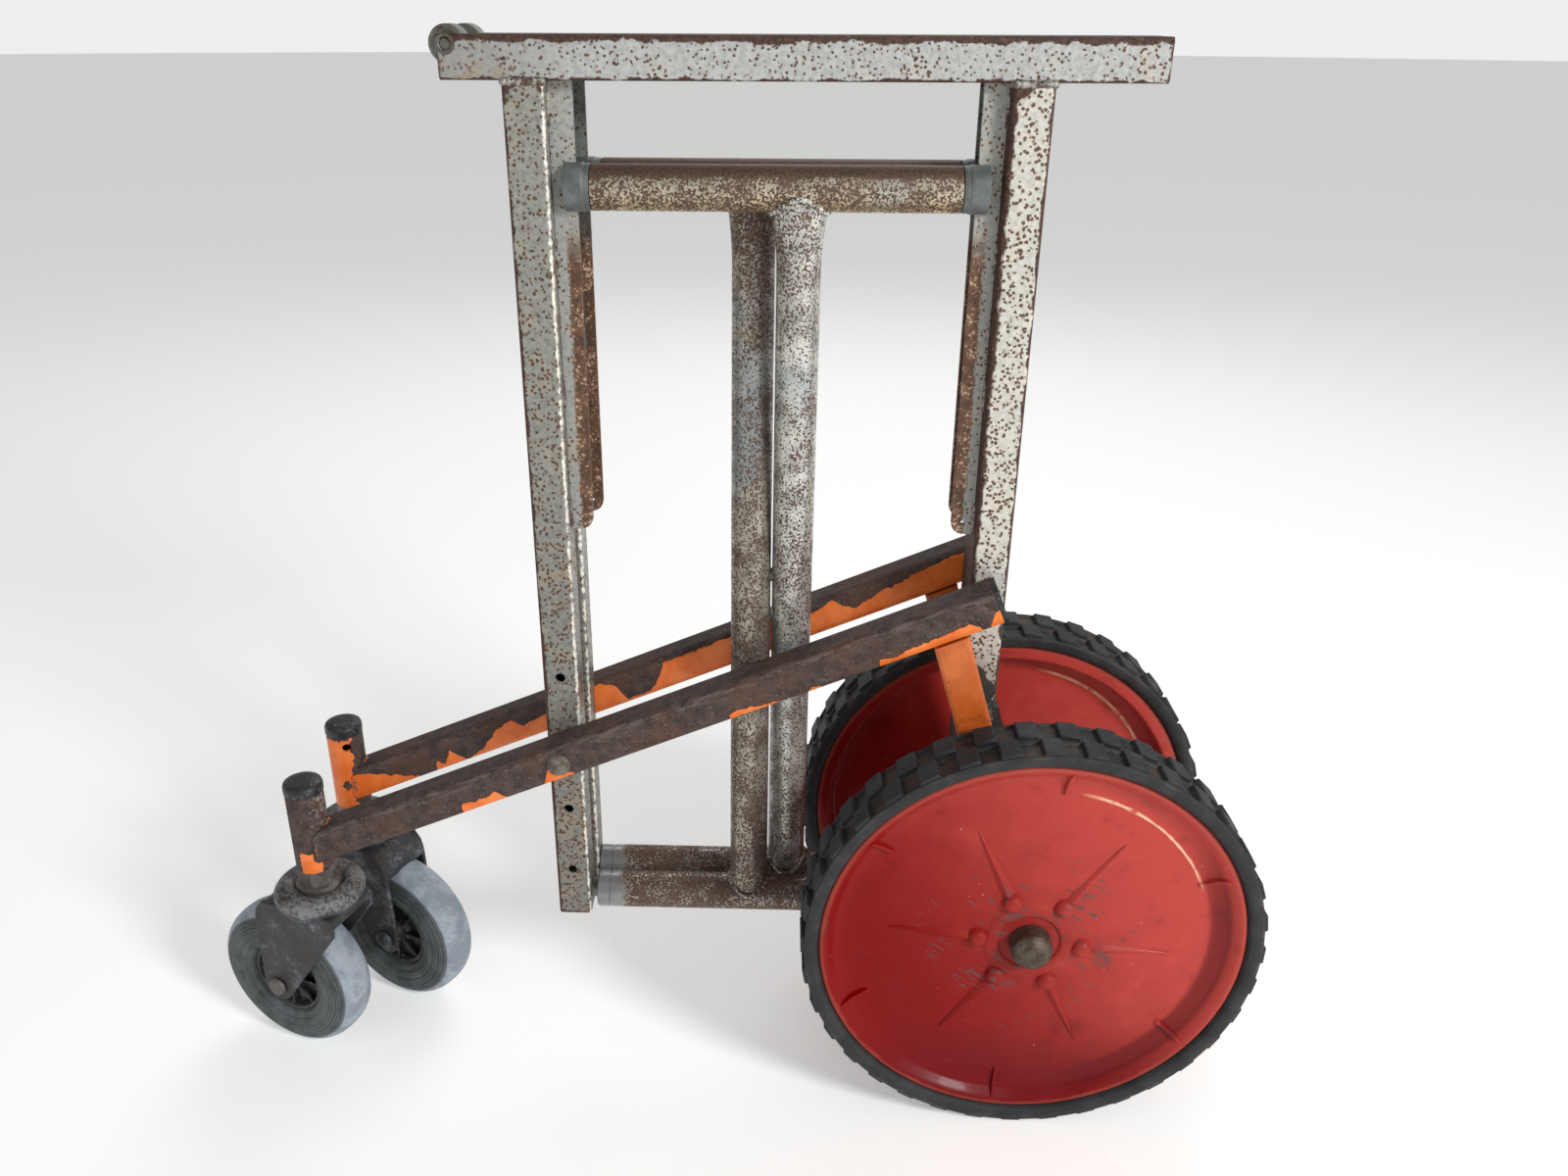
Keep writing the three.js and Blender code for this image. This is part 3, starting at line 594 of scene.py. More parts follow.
def orange_coat(f, place):
    """Orange paint with a little dirt."""
    soft = f.cloud(place, 24, 3)
    grime = f.cloud(place, 4, 4, 0.65)
    return f.coats(
        f.mix(paint("F28137"), paint("E26A1E"), f.step(soft, 0.35, 0.65)),
        (paint("A64B16"), f.step(grime, 0.6, 0.7) * 0.5),
        (paint("3A241B"), f.step(grime + (soft - 0.5) * 0.3, 0.7, 0.72)),
    )


def flaked(f, brown, orange, inside, grit):
    """Orange paint where inside is above zero, with a dark broken edge."""
    kept = f.step(inside, -0.25, 0.25)
    edge = f.step(inside, -1.3, -0.2) - kept
    colour = f.coats(brown, (paint("241815"), edge.or_more(0) * 0.8), (orange, kept))
    relief = grit * 0.35 * (1 - kept) + kept * 0.6
    return colour, 0.62 - kept * 0.2 + (1 - kept) * grit * 0.2, relief


NEAR_ARM_FLAKES = [
    (0, -19), (152, -19), (155, -5), (168, -6), (180, -7), (189, -3), (197, -14), (201, -19),
    (229, -19), (234, -12), (244, 0), (254, -6), (262, -13), (265, -19), (406, -19), (410, -9),
    (431, -9.5), (455, -14), (459, -19), (474, -18), (486, -9.5), (494, -15), (497, -19),
    (541, -19), (544, -6), (557, -11), (571, -7), (609, -6), (622, -4), (636, -16), (645, -2),
]
FAR_ARM_FLAKES = [
    (0, 15), (25, 10), (72, -12), (82, -18), (92, -17), (98, -3), (104, -11), (115, 2),
    (127, -14), (149, -7), (167, 5), (186, 10), (193, 0), (219, 3), (278, 13), (294, 7),
    (297, -11), (320, -11), (331, -5), (345, 12), (381, 11), (411, 13), (470, 13), (487, 6),
    (511, 13), (518, 4), (527, -3), (553, 4), (598, 10), (629, 13), (670, 14),
]


def arm_finish(side, flakes, scuffed):
    """Rusty arm with the orange that is left along its lower half."""
    f = Finish(f"{side}_arm_rust")
    sleeve, bolt = spot(f"{side}_castor_sleeve"), spot(f"{side}_arm_bolt")
    rise = (bolt.x - sleeve.x) * math.tan(math.radians(ARM_TILT))
    foot = (sleeve.x, sleeve.y, bolt.z - rise)
    along, _, above = f.axes(f.place(foot, (0, -ARM_TILT, 0)))
    place = f.place()
    _, y, _ = f.axes(place)
    brown, grit = rusty_brown(f, place)
    ragged = f.cloud(place, 7, 5, 0.65)
    scratch = f.cloud(f.place(turn=(0, -ARM_TILT, 0), stretch=(6, 1, 1)), 3, 3, 0.6)
    upper_edge = abs(above - 13) * 0.7 + abs(y - (sleeve.y - 15)) * 0.5
    rubbed = (1 - f.step(upper_edge, 1, 5)) * f.step(scratch, 0.45, 0.62) * scuffed
    brown = f.mix(brown, paint("8A7D74"), rubbed * 0.3)
    edge = f.height_along(along, 670, flakes, 20)
    inside = edge - above + (ragged - 0.5) * 9
    towards_viewer = f.step(sleeve.y + 6 - y, 0, 3)
    inside = inside - (1 - towards_viewer) * 40
    colour, rough, relief = flaked(f, brown, orange_coat(f, place), inside, grit)
    return f.made(colour, rough, relief, 0.5, 2.5, Metallic=0.1)


def near_sleeve_finish():
    """Brown sleeve with an orange patch low on its front and pale scuffs above."""
    f = Finish("near_sleeve_rust")
    middle, low = spot("near_castor_sleeve"), lowest("near_castor_sleeve")
    place = f.place()
    x, _, z = f.axes(f.place((middle.x, middle.y, low.z)))
    brown, grit = rusty_brown(f, place)
    ragged = f.cloud(place, 8, 5, 0.65)
    scratch = f.cloud(place, 3.5, 4, 0.7)
    scuff = f.step(scratch + x * 0.008, 0.6, 0.74) * f.step(z, 35, 60)
    brown = f.mix(brown, paint("A8A4A3"), scuff * 0.6)
    across = abs(x - 3) * 1.1
    inside = (10 - across).or_less(22 - z) + (ragged - 0.5) * 10
    colour, rough, relief = flaked(f, brown, orange_coat(f, place), inside, grit)
    return f.made(colour, rough, relief, 0.4, Metallic=0.15)


def far_sleeve_finish():
    """Orange sleeve, flaked dark round its top, down one side and at the arm."""
    f = Finish("far_sleeve_paint")
    middle, high = spot("far_castor_sleeve"), highest("far_castor_sleeve")
    place = f.place()
    x, _, z = f.axes(f.place((middle.x, middle.y, high.z)))
    brown, grit = rusty_brown(f, place)
    ragged = f.cloud(place, 9, 5, 0.65)
    inside = (9 - x).or_less(-2 - z).or_less(x + 16.5) + (ragged - 0.5) * 16
    hole = abs(x - 2) + abs(z + 52) * 0.8 - 5 + (ragged - 0.5) * 14
    colour, rough, relief = flaked(f, brown, orange_coat(f, place), inside.or_less(hole), grit)
    return f.made(colour, rough, relief, 0.4, Metallic=0.1)


def strut_finish(side):
    """Orange strut, its orange darkened by painted shade, dirtier towards its foot."""
    f = Finish(f"{side}_strut_paint")
    place = f.place()
    _, _, z = f.axes(place)
    brown, grit = rusty_brown(f, place)
    ragged = f.cloud(place, 9, 5, 0.7)
    dirt = f.cloud(place, 14, 4, 0.6)
    inside = (ragged - 0.3) * 20 - (1 - f.step(z, 190, 260)) * 2.2
    # The orange is darkened throughout as painted shade, and further by dirt in blotches.
    orange = f.mix(orange_coat(f, place), paint("7A3A18"), 0.42 + f.step(dirt, 0.5, 0.7) * 0.35)
    colour, rough, relief = flaked(f, brown, orange, inside, grit)
    return f.made(colour, rough, relief, 0.4, 1.5, Metallic=0.05)


def dark_steel(name, base, worn, dirt, metal, rubbed_above=None):
    """Blackened steel, greasy in places and rubbed grey in others."""
    f = Finish(name)
    place = f.place()
    soft = f.cloud(place, 22, 4)
    grit = f.cloud(place, 3, 4, 0.65)
    colour = f.coats(
        f.mix(paint(base), paint(worn), f.step(soft + (grit - 0.5) * 0.5, 0.52, 0.74)),
        (paint(dirt), f.step(1 - soft + (grit - 0.5) * 0.4, 0.52, 0.66) * 0.7),
        (paint("A8A7A2"), f.step(grit, 0.7, 0.76) * 0.5),
    )
    if rubbed_above:
        _, _, z = f.axes(place)
        high_up = f.step(z + (soft - 0.5) * 16, rubbed_above - 3, rubbed_above + 5)
        rubbed = high_up * f.step(grit + (soft - 0.5) * 0.6, 0.34, 0.6)
        colour = f.mix(colour, paint("8D8D8A"), rubbed * 0.75)
    return f.made(colour, 0.4 + grit * 0.35, grit, 0.25, Metallic=metal)


def rusted_steel(name, base, rust, bright="9A968C"):
    """Bare steel bolt heads and caps gone brown."""
    f = Finish(name)
    place = f.place()
    soft = f.cloud(place, 9, 4)
    grit = f.cloud(place, 2.2, 4, 0.65)
    colour = f.coats(
        f.mix(paint(base), paint(rust), f.step(soft, 0.44, 0.62)),
        (paint(bright), f.step(grit, 0.58, 0.72) * 0.5),
        (paint("2C231E"), 1 - f.step(grit, 0.3, 0.4)),
    )
    return f.made(colour, 0.42 + soft * 0.3, grit, 0.3, Metallic=0.6)


def bush_finish():
    """Smooth blue-grey plastic with handling marks."""
    f = Finish("bush_grey")
    place = f.place()
    soft = f.cloud(place, 12, 3)
    mark = f.cloud(place, 3, 4, 0.7)
    colour = f.coats(
        f.mix(paint("525655"), paint("646968"), f.step(soft, 0.4, 0.65)),
        (paint("8A8E8C"), f.step(mark, 0.64, 0.72) * 0.5),
    )
    return f.made(colour, 0.42 + mark * 0.2, mark, 0.1)


def black_plastic(name, dust_from=None):
    """Black moulded plastic, dusted white above a height."""
    f = Finish(name)
    place = f.place()
    soft = f.cloud(place, 12, 3)
    speck = f.cloud(place, 3.2, 4, 0.75)
    colour = f.mix(paint("17191B"), paint("2B2D2F"), f.step(soft, 0.4, 0.7))
    dust = f.step(speck, 0.6, 0.68)
    if dust_from is not None:
        _, _, z = f.axes(place)
        dust = dust * f.step(z, dust_from - 1, dust_from)
    colour = f.mix(colour, paint("B9BBBC"), dust * 0.6)
    return f.made(colour, 0.35 + speck * 0.25, speck, 0.12)


def around(f, node):
    """Distance from a wheel's axle, and the point's x and z about it."""
    x, _, z = f.axes(f.place(spot(node)))
    return (x * x + z * z) ** 0.5, x, z


def red_finish(side):
    """Glossy red pressed disc, scuffed to grey round its studs, with painted light and shade: lighter to the
    upper right, darker to the lower left and below, a painted shadow on the right of the rim wall, and a
    pale crease on the upper right that is wear with a painted highlight.
    """
    f = Finish(f"{side}_disc_red")
    place = f.place()
    radius, x, z = around(f, f"{side}_tyre")
    cloudy = f.cloud(place, 30, 4)
    speck = f.cloud(place, 4, 3, 0.6)
    scuff = f.cloud(f.place(turn=(0, 35, 0), stretch=(5, 1, 1)), 4, 4, 0.7)
    patch = f.cloud(place, 26, 5, 0.65)
    near_hub = 1 - f.step(radius, 60, 118)
    # Painted light and shade across the disc: lighter red to the upper right, darker red to the lower left;
    # the paler blotches come only on the lighter side.
    lit_side_painted = f.step(x * 0.85 + z * 0.5 + (cloudy - 0.5) * 60, -120, 150)
    colour = f.coats(
        f.mix(paint("7E0202"), paint("B5423A"), lit_side_painted),
        (paint("BE4A40"), f.step(cloudy, 0.55, 0.72) * lit_side_painted * 0.4),
        # Painted shade: darker red low on the disc.
        (paint("640A14"), f.step(z * -1, 80, 160) * 0.6),
        (paint("5E1416"), f.step(1 - cloudy, 0.56, 0.7) * 0.3),
        (paint("5A4744"), f.step(scuff + (patch - 0.5) * 0.9, 0.58, 0.7) * near_hub * 0.8),
        (paint("8A3028"), f.step(scuff, 0.62, 0.7) * 0.35),
    )
    # Painted shadow on the right side of the sloping wall inside the rim.
    wall = f.step(radius, 151, 157) * (1 - f.step(radius, 168, 173))
    painted_shadow_wall = wall * f.step((x * 0.9 - z * 0.42) / radius, 0.35, 0.85)
    colour = f.mix(colour, paint("641416"), painted_shadow_wall * 0.75)
    # Pale line along the crease on its upper right: wear, with a painted highlight.
    crease = 1 - f.step(abs(radius - 151.5) + (patch - 0.5) * 5, 0.6, 2.2)
    upper_right = f.step((x * 0.64 + z * 0.77) / radius, 0.86, 0.95)
    colour = f.mix(colour, paint("F0C4A4"), crease * upper_right * f.step(patch, 0.36, 0.52) * 0.85)
    lip = f.step(radius + (patch - 0.5) * 6, 176, 179)
    colour = f.mix(colour, paint("A04A3C"), lip * 0.55)
    colour = f.mix(colour, paint("E8DAD2"), f.step(speck, 0.755, 0.775) * 0.9)
    rough = 0.34 + f.step(cloudy, 0.4, 0.7) * 0.15 + near_hub * 0.12
    relief = cloudy * 0.6 + scuff * 0.15
    return f.made(colour, rough, relief, 0.3, Coat_Weight=0.04, Specular_IOR_Level=0.14)


def tyre_finish(side):
    """Black rubber, dusty brown down between its lugs."""
    f = Finish(f"{side}_tyre_rubber")
    place = f.place()
    radius, _, _ = around(f, f"{side}_tyre")
    soft = f.cloud(place, 26, 4)
    grit = f.cloud(place, 3.5, 4, 0.65)
    colour = f.coats(
        f.mix(paint("17191B"), paint("282A2D"), f.step(soft, 0.4, 0.66)),
        (paint("4A4D50"), f.step(grit + (soft - 0.5) * 0.4, 0.62, 0.74) * 0.5),
    )
    floor = f.step(radius, 191.3, 191.6) * (1 - f.step(radius, 192.4, 193.6))
    colour = f.mix(colour, paint("463628"), floor * f.step(soft + (grit - 0.5) * 0.3, 0.46, 0.6) * 0.8)
    return f.made(colour, 0.5 + grit * 0.3, grit, 0.3)


def castor_tyre_finish(side):
    """Blue-grey rubber, pale on the tread and darker in the rings of the sides."""
    f = Finish(f"{side}_castor_rubber")
    turn = math.degrees(castor_turn(side))
    place = f.place()
    x, _, z = f.axes(f.place(spot(f"{side}_castor_tyre"), (0, 0, turn)))
    radius = (x * x + z * z) ** 0.5
    soft = f.cloud(place, 20, 4)
    grit = f.cloud(place, 3, 4, 0.7)
    tread = f.step(radius + (soft - 0.5) * 2, 68.5, 70.5)
    rings = f.step(f.node("ShaderNodeMath", {"operation": "SINE"}, {0: radius * 2.1}), 0.5, 0.95)
    side_wall = f.coats(
        f.mix(paint("54585A"), paint("3F4446"), f.step(soft, 0.4, 0.6)),
        (paint("25282A"), rings * f.step(radius, 54, 56) * 0.85),
        (paint("2A2827"), f.step(grit + (soft - 0.5) * 0.4, 0.6, 0.7) * 0.7),
    )
    band = f.coats(
        f.mix(paint("98A2AB"), paint("7D8790"), f.step(soft, 0.38, 0.62)),
        (paint("B8C3CC"), f.step(grit, 0.58, 0.7) * 0.5),
        (paint("6C6A66"), f.step(1 - soft + (grit - 0.5) * 0.5, 0.6, 0.74) * 0.5),
    )
    rough = 0.5 + grit * 0.25
    return f.made(f.mix(side_wall, band, tread), rough, grit - rings * (1 - tread) * 0.6, 0.25)


def weld_finish(name, first, second):
    """Rippled weld metal."""
    f = Finish(name)
    place = f.place()
    soft = f.cloud(place, 7, 4, 0.6)
    grit = f.cloud(place, 2, 3, 0.6)
    colour = f.coats(
        f.mix(paint(first), paint(second), f.step(soft, 0.4, 0.62)),
        (paint("2E221D"), 1 - f.step(grit, 0.34, 0.44)),
    )
    return f.made(colour, 0.45 + soft * 0.3, grit, 0.3, Metallic=0.4)



def dress_upright(side):
    front, rear = spot(f"{side}_front_leg"), spot(f"{side}_rear_leg")
    inner_front, inner_rear = front.x + TUBE, rear.x - TUBE
    bar_z = spot("right_tbar_crossbar").z
    grey, cream = ("96978F", "777873", "A39C8C"), ("D0CEC5", "B2B0A7", "D8D0BE")
    # The far guides' tone is darker than the near ones: painted shade.
    guide_tone_far_shaded = ("A5A6A1", "8C8E89", "B0A999") if side == "near" else ("7E8480", "666C69", "8E897B")
    dress(leg_paint(side, "front", grey, 0.33), f"{side}_front_leg")
    dress(leg_paint(side, "rear", cream, 0.37), f"{side}_rear_leg")
    dress(rail_paint(side), f"{side}_top_rail")
    for end, weld_x, way in (("front", inner_front, 1), ("rear", inner_rear, -1)):
        look = guide_finish(f"{side}_{end}_guide_steel", weld_x, weld_x + 18 * way, bar_z, guide_tone_far_shaded)
        dress(look, f"{side}_{end}_guide")


# ---- T-bars ----


def post_piece(name, material):
    """Pipe whose top end is spread to saddle the crossbar."""
    length = tbar_length(name)
    outline = [(0, 10), (PIPE, 10), (PIPE, 26), (PIPE, length - 58)]
    outline += [(PIPE, length - 58 + 6 * i) for i in range(1, 9)]
    outline += [(PIPE, length - 8), (0, length - 8)]
    bm = turned(outline, 48)
    for vert in bm.verts:
        near_top = min(1, max(0, (vert.co.z - length + 62) / 50))
        near_foot = min(1, max(0, (34 - vert.co.z) / 20))
        vert.co.x *= 1 + 0.26 * near_top**2 + 0.1 * near_foot**2
    moved(bm, x=spot(f"{name}_post").x - spot(f"{name}_foot_pipe").x)
    placed(bm, tbar_place(name))
    return piece(f"{name}_welded_post", bm, name, material, [f"{name}_post"])


def foot_piece(name, material):
    """Pipe along the foot rod with a grooved collar at each end."""
    half = TBAR_REACH
    end = half + FOOT_CUP
    outline = [(8.4, -half), (13, -half), (13, -end), (15.9, -end), (PIPE, 1.2 - end), (PIPE, 4.2 - half)]
    outline += [(PIPE - 0.8, 4.6 - half), (PIPE - 0.8, 5.6 - half), (PIPE, 6 - half)]
    bm = swung(turned(mirrored(outline), 48), 90, "Y")
    placed(bm, tbar_place(name))
    return piece(f"{name}_foot", bm, name, material, [f"{name}_foot_pipe"])


def crossbar_piece(name, material):
    half = TBAR_REACH - 19.3
    outline = rounded([(0, -half), (PIPE, -half), (PIPE, half), (0, half)], 1.0)
    bm = swung(turned(outline, 48), 90, "Y")
    placed(bm, tbar_place(name) @ Matrix.Translation((0, 0, tbar_length(name))))
    return piece(f"{name}_bar", bm, name, material, [f"{name}_crossbar"])


def bush_piece(name, end, material):
    """Plastic bush with a moulded rim, slotted to straddle the guide plate."""
    node = f"{name}_{end}_bush"
    rim = PIPE + 0.7
    outline = [(0, -9.4), (PIPE, -9.4), (PIPE, -5), (rim, -4), (rim, 9.5), (0, 9.5)]
    body = swung(turned(rounded(outline, 0.9), 48), 90, "Y")
    bm = carved(body, moved(block(17, 4.1, 80), x=9.5))
    swung(bm, 0 if end == "rear" else 180, "Z")
    placed(bm, Matrix.Translation(spot(node)))
    return piece(f"{node}_moulding", bm, f"{name}_bushes", material, [node])


def tbar_welds(name, material):
    """Beads round the post where it meets the crossbar and the foot pipe."""
    length = tbar_length(name)
    post_x = spot(f"{name}_post").x - spot(f"{name}_foot_pipe").x
    rings = []
    for height, wide, up in ((length, PIPE * 1.24, -1), (0, PIPE * 1.08, 1)):
        points = []
        for i in range(25):
            angle = math.tau * i / 24
            across = PIPE * math.sin(angle)
            drop = math.sqrt(max(0, (PIPE + 0.6) ** 2 - across**2))
            points.append((post_x + wide * math.cos(angle), across, height + up * drop))
        rings.append(weld(points, 2.4))
    bm = placed(joined(*rings), tbar_place(name))
    return piece(f"{name}_welds", bm, name, material, sharp=80)


def make_tbars():
    looks = {
        "left_tbar": pipe_finish("left_post_paint", "A59E92", "7B776F", 0.225),
        "right_tbar": pipe_finish("right_post_paint", "CCCAC2", "A2A29C", 0.19),
    }
    bush_grey = bush_finish()
    for name, post_look in looks.items():
        foot, bar = spot(f"{name}_foot_pipe"), spot(f"{name}_crossbar")
        clean = (foot.x - TBAR_REACH - 4, 22)
        foot_look = pipe_finish(f"{name}_foot_paint", "A29C90", "726C64", 0.27, clean_at=clean)
        bar_look = pipe_finish(f"{name}_bar_paint", "C6BBA2", "9A917F", 0.25, top_of=bar.z)
        post_piece(name, post_look)
        foot_piece(name, foot_look)
        crossbar_piece(name, bar_look)
        bush_piece(name, "front", bush_grey)
        bush_piece(name, "rear", bush_grey)
        tbar_welds(name, post_look)


# ---- Upright frames' fittings ----


def frame_welds(side, material):
    """Beads where each leg meets the rail and each guide plate meets its leg."""
    rail_bottom = lowest(f"{side}_top_rail").z
    seams = []
    for end, inward in (("front", 1), ("rear", -1)):
        middle = spot(f"{side}_{end}_leg")
        half = 14
        square = [(-half, -half), (half, -half), (half, half), (-half, half), (-half, -half)]
        seams.append(weld([(middle.x + x, middle.y + y, rail_bottom - 0.8) for x, y in square], 2.8))
        guide_low = lowest(f"{side}_{end}_guide").z
        root = middle.x + inward * 15.4
        for from_z in (guide_low + 2, 640, 745, rail_bottom - 30):
            for edge_y in (-2.4, 2.4):
                line = [(root, middle.y + edge_y, from_z), (root, middle.y + edge_y, from_z + 22)]
                seams.append(weld(line, 1.5))
    return piece(f"{side}_frame_welds", joined(*seams), f"{side}_frame", material, sharp=80)


def roller_piece(side, material):
    """Steel roller with its axle riveted in the rail's walls."""
    node = f"{side}_rail_roller"
    outline = [(0, -14.7), (4, -14.7), (4, -10), (13, -10), (13, 10), (4, 10), (4, 14.7), (0, 14.7)]
    bm = turned(rounded(outline, 0.9), 48)
    placed(bm, wheel_place(node, side))
    return piece(f"{side}_end_roller", bm, f"{side}_roller", material, [node])


def rivet_rings(side, material):
    """Turned-over rim round each end of the roller's axle."""
    middle = spot(f"{side}_rail_roller")
    rims = []
    for way in (-1, 1):
        outline = rounded([(4.6, 0), (7, 0), (7, 0.9), (4.6, 0.9)], 0.3, closed=True)
        rim = swung(turned(outline, 32), -90 * way, "X")
        rims.append(moved(rim, middle.x, middle.y + way * TUBE, middle.z))
    return piece(f"{side}_roller_rivet_rims", joined(*rims), f"{side}_frame", material)


# ---- Arms, sleeves and struts ----


def sleeve_piece(side, material):
    node = f"{side}_castor_sleeve"
    middle, low, high = spot(node), lowest(node).z, highest(node).z
    outline = [(13.85, low), (PIPE, low), (PIPE, high), (13.85, high)]
    bm = moved(turned(rounded(outline, 0.8, closed=True), 64), middle.x, middle.y)
    if side == "far":
        drill = swung(turned([(0, 8), (4.2, 8), (4.2, 24), (0, 24)], 32), 90, "X")
        swung(drill, 22, "Z")
        bm = carved(bm, moved(drill, middle.x, middle.y, high - 10))
    return piece(f"{side}_sleeve", bm, f"{side}_frame", material, [node])


def cap_piece(side, material):
    """Domed plug with a lip on the sleeve."""
    node = f"{side}_sleeve_cap"
    middle = spot(node)
    seat = highest(f"{side}_castor_sleeve").z
    outline = [
        (0, 0.2), (17.4, 0.2), (17.4, 7), (16.4, 9.6), (13.5, 10.4), (12.6, 11.2), (9, 11.7),
        (0, 11.8),
    ]
    bm = moved(turned(rounded(outline, 0.8), 48), middle.x, middle.y, seat)
    return piece(f"{side}_domed_cap", bm, f"{side}_frame", material, [node])


def bolt_piece(side, material):
    """Round-headed bolt through the arm and the front leg."""
    node = f"{side}_arm_bolt"
    middle, way = spot(node), OUTWARD[side]
    face = middle.y + way * (highest(node).y - lowest(node).y) / 2 - way * 5
    outline = [(0, -66), (4, -66), (4, 0), (10.3, 0), (10.3, 0.8), (9.2, 2.6), (6.4, 4.3), (3, 4.95), (0, 5)]
    bm = swung(turned(outline, 48), -90 * way, "X")
    moved(bm, middle.x, face, middle.z)
    return piece(f"{side}_arm_bolt_head", bm, f"{side}_frame", material, [node])


def arm_welds(side, material):
    """Beads round the arm where it meets the sleeve."""
    sleeve, arm = spot(f"{side}_castor_sleeve"), spot(f"{side}_arm")
    bolt = spot(f"{side}_arm_bolt")
    slope = math.tan(math.radians(ARM_TILT))
    points = []
    for i in range(29):
        angle = math.tau * i / 28
        across = 14.5 * math.cos(angle)
        rise = 17.5 * math.sin(angle)
        out = math.sqrt(max(0, PIPE**2 - across**2))
        centre = bolt.z - (bolt.x - sleeve.x - out) * slope
        points.append((sleeve.x + out + 0.6, arm.y + across, centre + rise))
    return piece(f"{side}_sleeve_weld", weld(points, 2.3), f"{side}_frame", material, sharp=80)


# ---- Castors ----


def castor_stem_piece(side, material):
    """Hexagon nut and washer on the castor's stem."""
    node = f"{side}_castor_stem"
    nut = moved(swung(hex_nut(30, 16.2), 22, "Z"), z=196.5)
    washer = turned(rounded([(0, 191), (20, 191), (20, 196.4), (0, 196.4)], 0.8), 48)
    stem = turned([(0, 164), (13.5, 164), (13.5, 173.6), (10, 173.6), (10, 273), (0, 273)], 32)
    bm = placed(joined(nut, washer, stem), castor_place(side))
    return piece(f"{side}_stem_nut", bm, f"{side}_frame", material, [node])


def fork_plate(way):
    """One side of the fork: a pressed plate that narrows to a round eye."""
    eye = 16
    outline = [(-30, 176), (-35, 168), (-34, 158)]
    outline += [
        (CASTOR_TRAIL + eye * math.cos(math.radians(a)), CASTOR_AXLE + eye * math.sin(math.radians(a)))
        for a in range(206, 376, 14)
    ]
    outline += [(57, 150), (54, 166), (46, 176)]
    bm = plate(outline, 4)
    outer = [face for face in bm.faces if face.normal.y * way > 0.9]
    bmesh.ops.inset_region(bm, faces=outer, thickness=5, depth=-0.9, use_even_offset=True)
    softened(bm, 0.7, 1, 20)
    return moved(bm, y=way * 27)


def fork_piece(side, material):
    """Fork with its bearing head on top and a hood over the wheel."""
    head = [
        (10.4, 172), (10.4, 190), (17, 190), (21, 191), (24, 194.2), (28, 196), (33, 195.6), (37.5, 192.5),
        (40.6, 188), (41, 184), (40.2, 181.4), (38.6, 180.6), (38.4, 178.4), (36.4, 177.6), (36, 172),
    ]
    hood = [(-36, 168), (-33, 175), (-26, 178), (28, 178), (44, 175), (53, 168), (57, 158), (57, 150)]
    strip = bmesh.new()
    verts = [strip.verts.new((x, -28.6, z)) for x, z in rounded(hood, 4)]
    edges = [strip.edges.new(pair) for pair in zip(verts, verts[1:])]
    grown = bmesh.ops.extrude_edge_only(strip, edges=edges)["geom"]
    side_verts = [item for item in grown if isinstance(item, bmesh.types.BMVert)]
    bmesh.ops.translate(strip, verts=side_verts, vec=(0, 57.2, 0))
    bmesh.ops.recalc_face_normals(strip, faces=strip.faces)
    bmesh.ops.solidify(strip, geom=strip.faces[:], thickness=3.6)
    bm = joined(
        turned(rounded(head, 1.0, closed=True), 72),
        softened(strip, 0.8, 1, 40), fork_plate(-1), fork_plate(1),
    )
    placed(bm, castor_place(side))
    return piece(
        f"{side}_fork", bm, f"{side}_castor_swivel", material, [f"{side}_castor_fork"],
    )


def axle_bolt_piece(side, material):
    """Bolt through the fork's eyes: a domed head one side, a nut the other."""
    shank = turned([(0, -29), (6, -29), (6, 39), (5, 40), (0, 40)], 24)
    head = turned(rounded([(0, -35), (5, -34.6), (8.4, -32), (9.6, -29.2), (0, -29.2)], 0.6), 40)
    nut = moved(hex_nut(18, 7.5), z=29.2)
    washer = turned(rounded([(0, 29.1), (11, 29.1), (11, 30.6), (0, 30.6)], 0.3), 32)
    bm = swung(joined(shank, head, nut, washer), 90 if side == "near" else -90, "X")
    placed(bm, axle_place(side))
    node = f"{side}_castor_axle_bolt"
    return piece(f"{side}_castor_bolt", bm, f"{side}_castor_swivel", material, [node])


def castor_tyre_piece(side, material):
    """Solid tyre, crowned on the tread and ringed on its sides."""
    half = [
        (38.3, 16), (40, 18.5), (45, 19.4), (46, 20.8), (51, 21.8), (52, 21), (53.5, 21), (54.5, 22),
        (60, 21.8),
        (61, 20.9), (62, 21.5), (64, 20.9), (65, 19.8), (66.2, 20.2), (68.4, 18.8), (71.5, 17.2), (74.2, 14),
        (76, 9.5), (76.8, 4.5),
    ]
    outline = mirrored(half, (77, 0))
    bm = swung(turned(rounded(outline, 0.7, closed=True), 96), -90, "X")
    placed(bm, axle_place(side))
    node = f"{side}_castor_tyre"
    return piece(f"{side}_castor_tread", bm, f"{side}_castor_wheel", material, [node])


def castor_core_piece(side, material):
    """Dished plastic centre with ribs from the hub to the rim."""
    half = [(6.6, 24), (13, 24), (13.5, 12), (17, 9), (32, 8), (34.5, 15.5), (38.1, 16)]
    outline = mirrored(half)
    parts = [turned(rounded(outline, 0.8, closed=True), 72)]
    for i in range(8):
        rib = moved(block(22, 2.6, 28, 0.6, 1), x=23)
        parts.append(swung(rib, 45 * i, "Z"))
    bm = swung(joined(*parts), -90, "X")
    placed(bm, axle_place(side))
    node = f"{side}_castor_core"
    return piece(f"{side}_castor_centre", bm, f"{side}_castor_wheel", material, [node])


# ---- Large wheels ----


def lug():
    """One block of tread, its outer face a little smaller than its root."""
    bm = block(7.4, 19.4, 24.6)
    outer = [face for face in bm.faces if face.normal.x > 0.9]
    bmesh.ops.scale(bm, vec=(1, 0.86, 0.95), verts=list(outer[0].verts))
    softened(bm, 1.0, 1)
    return moved(bm, x=197 - 3.7, z=13.3)


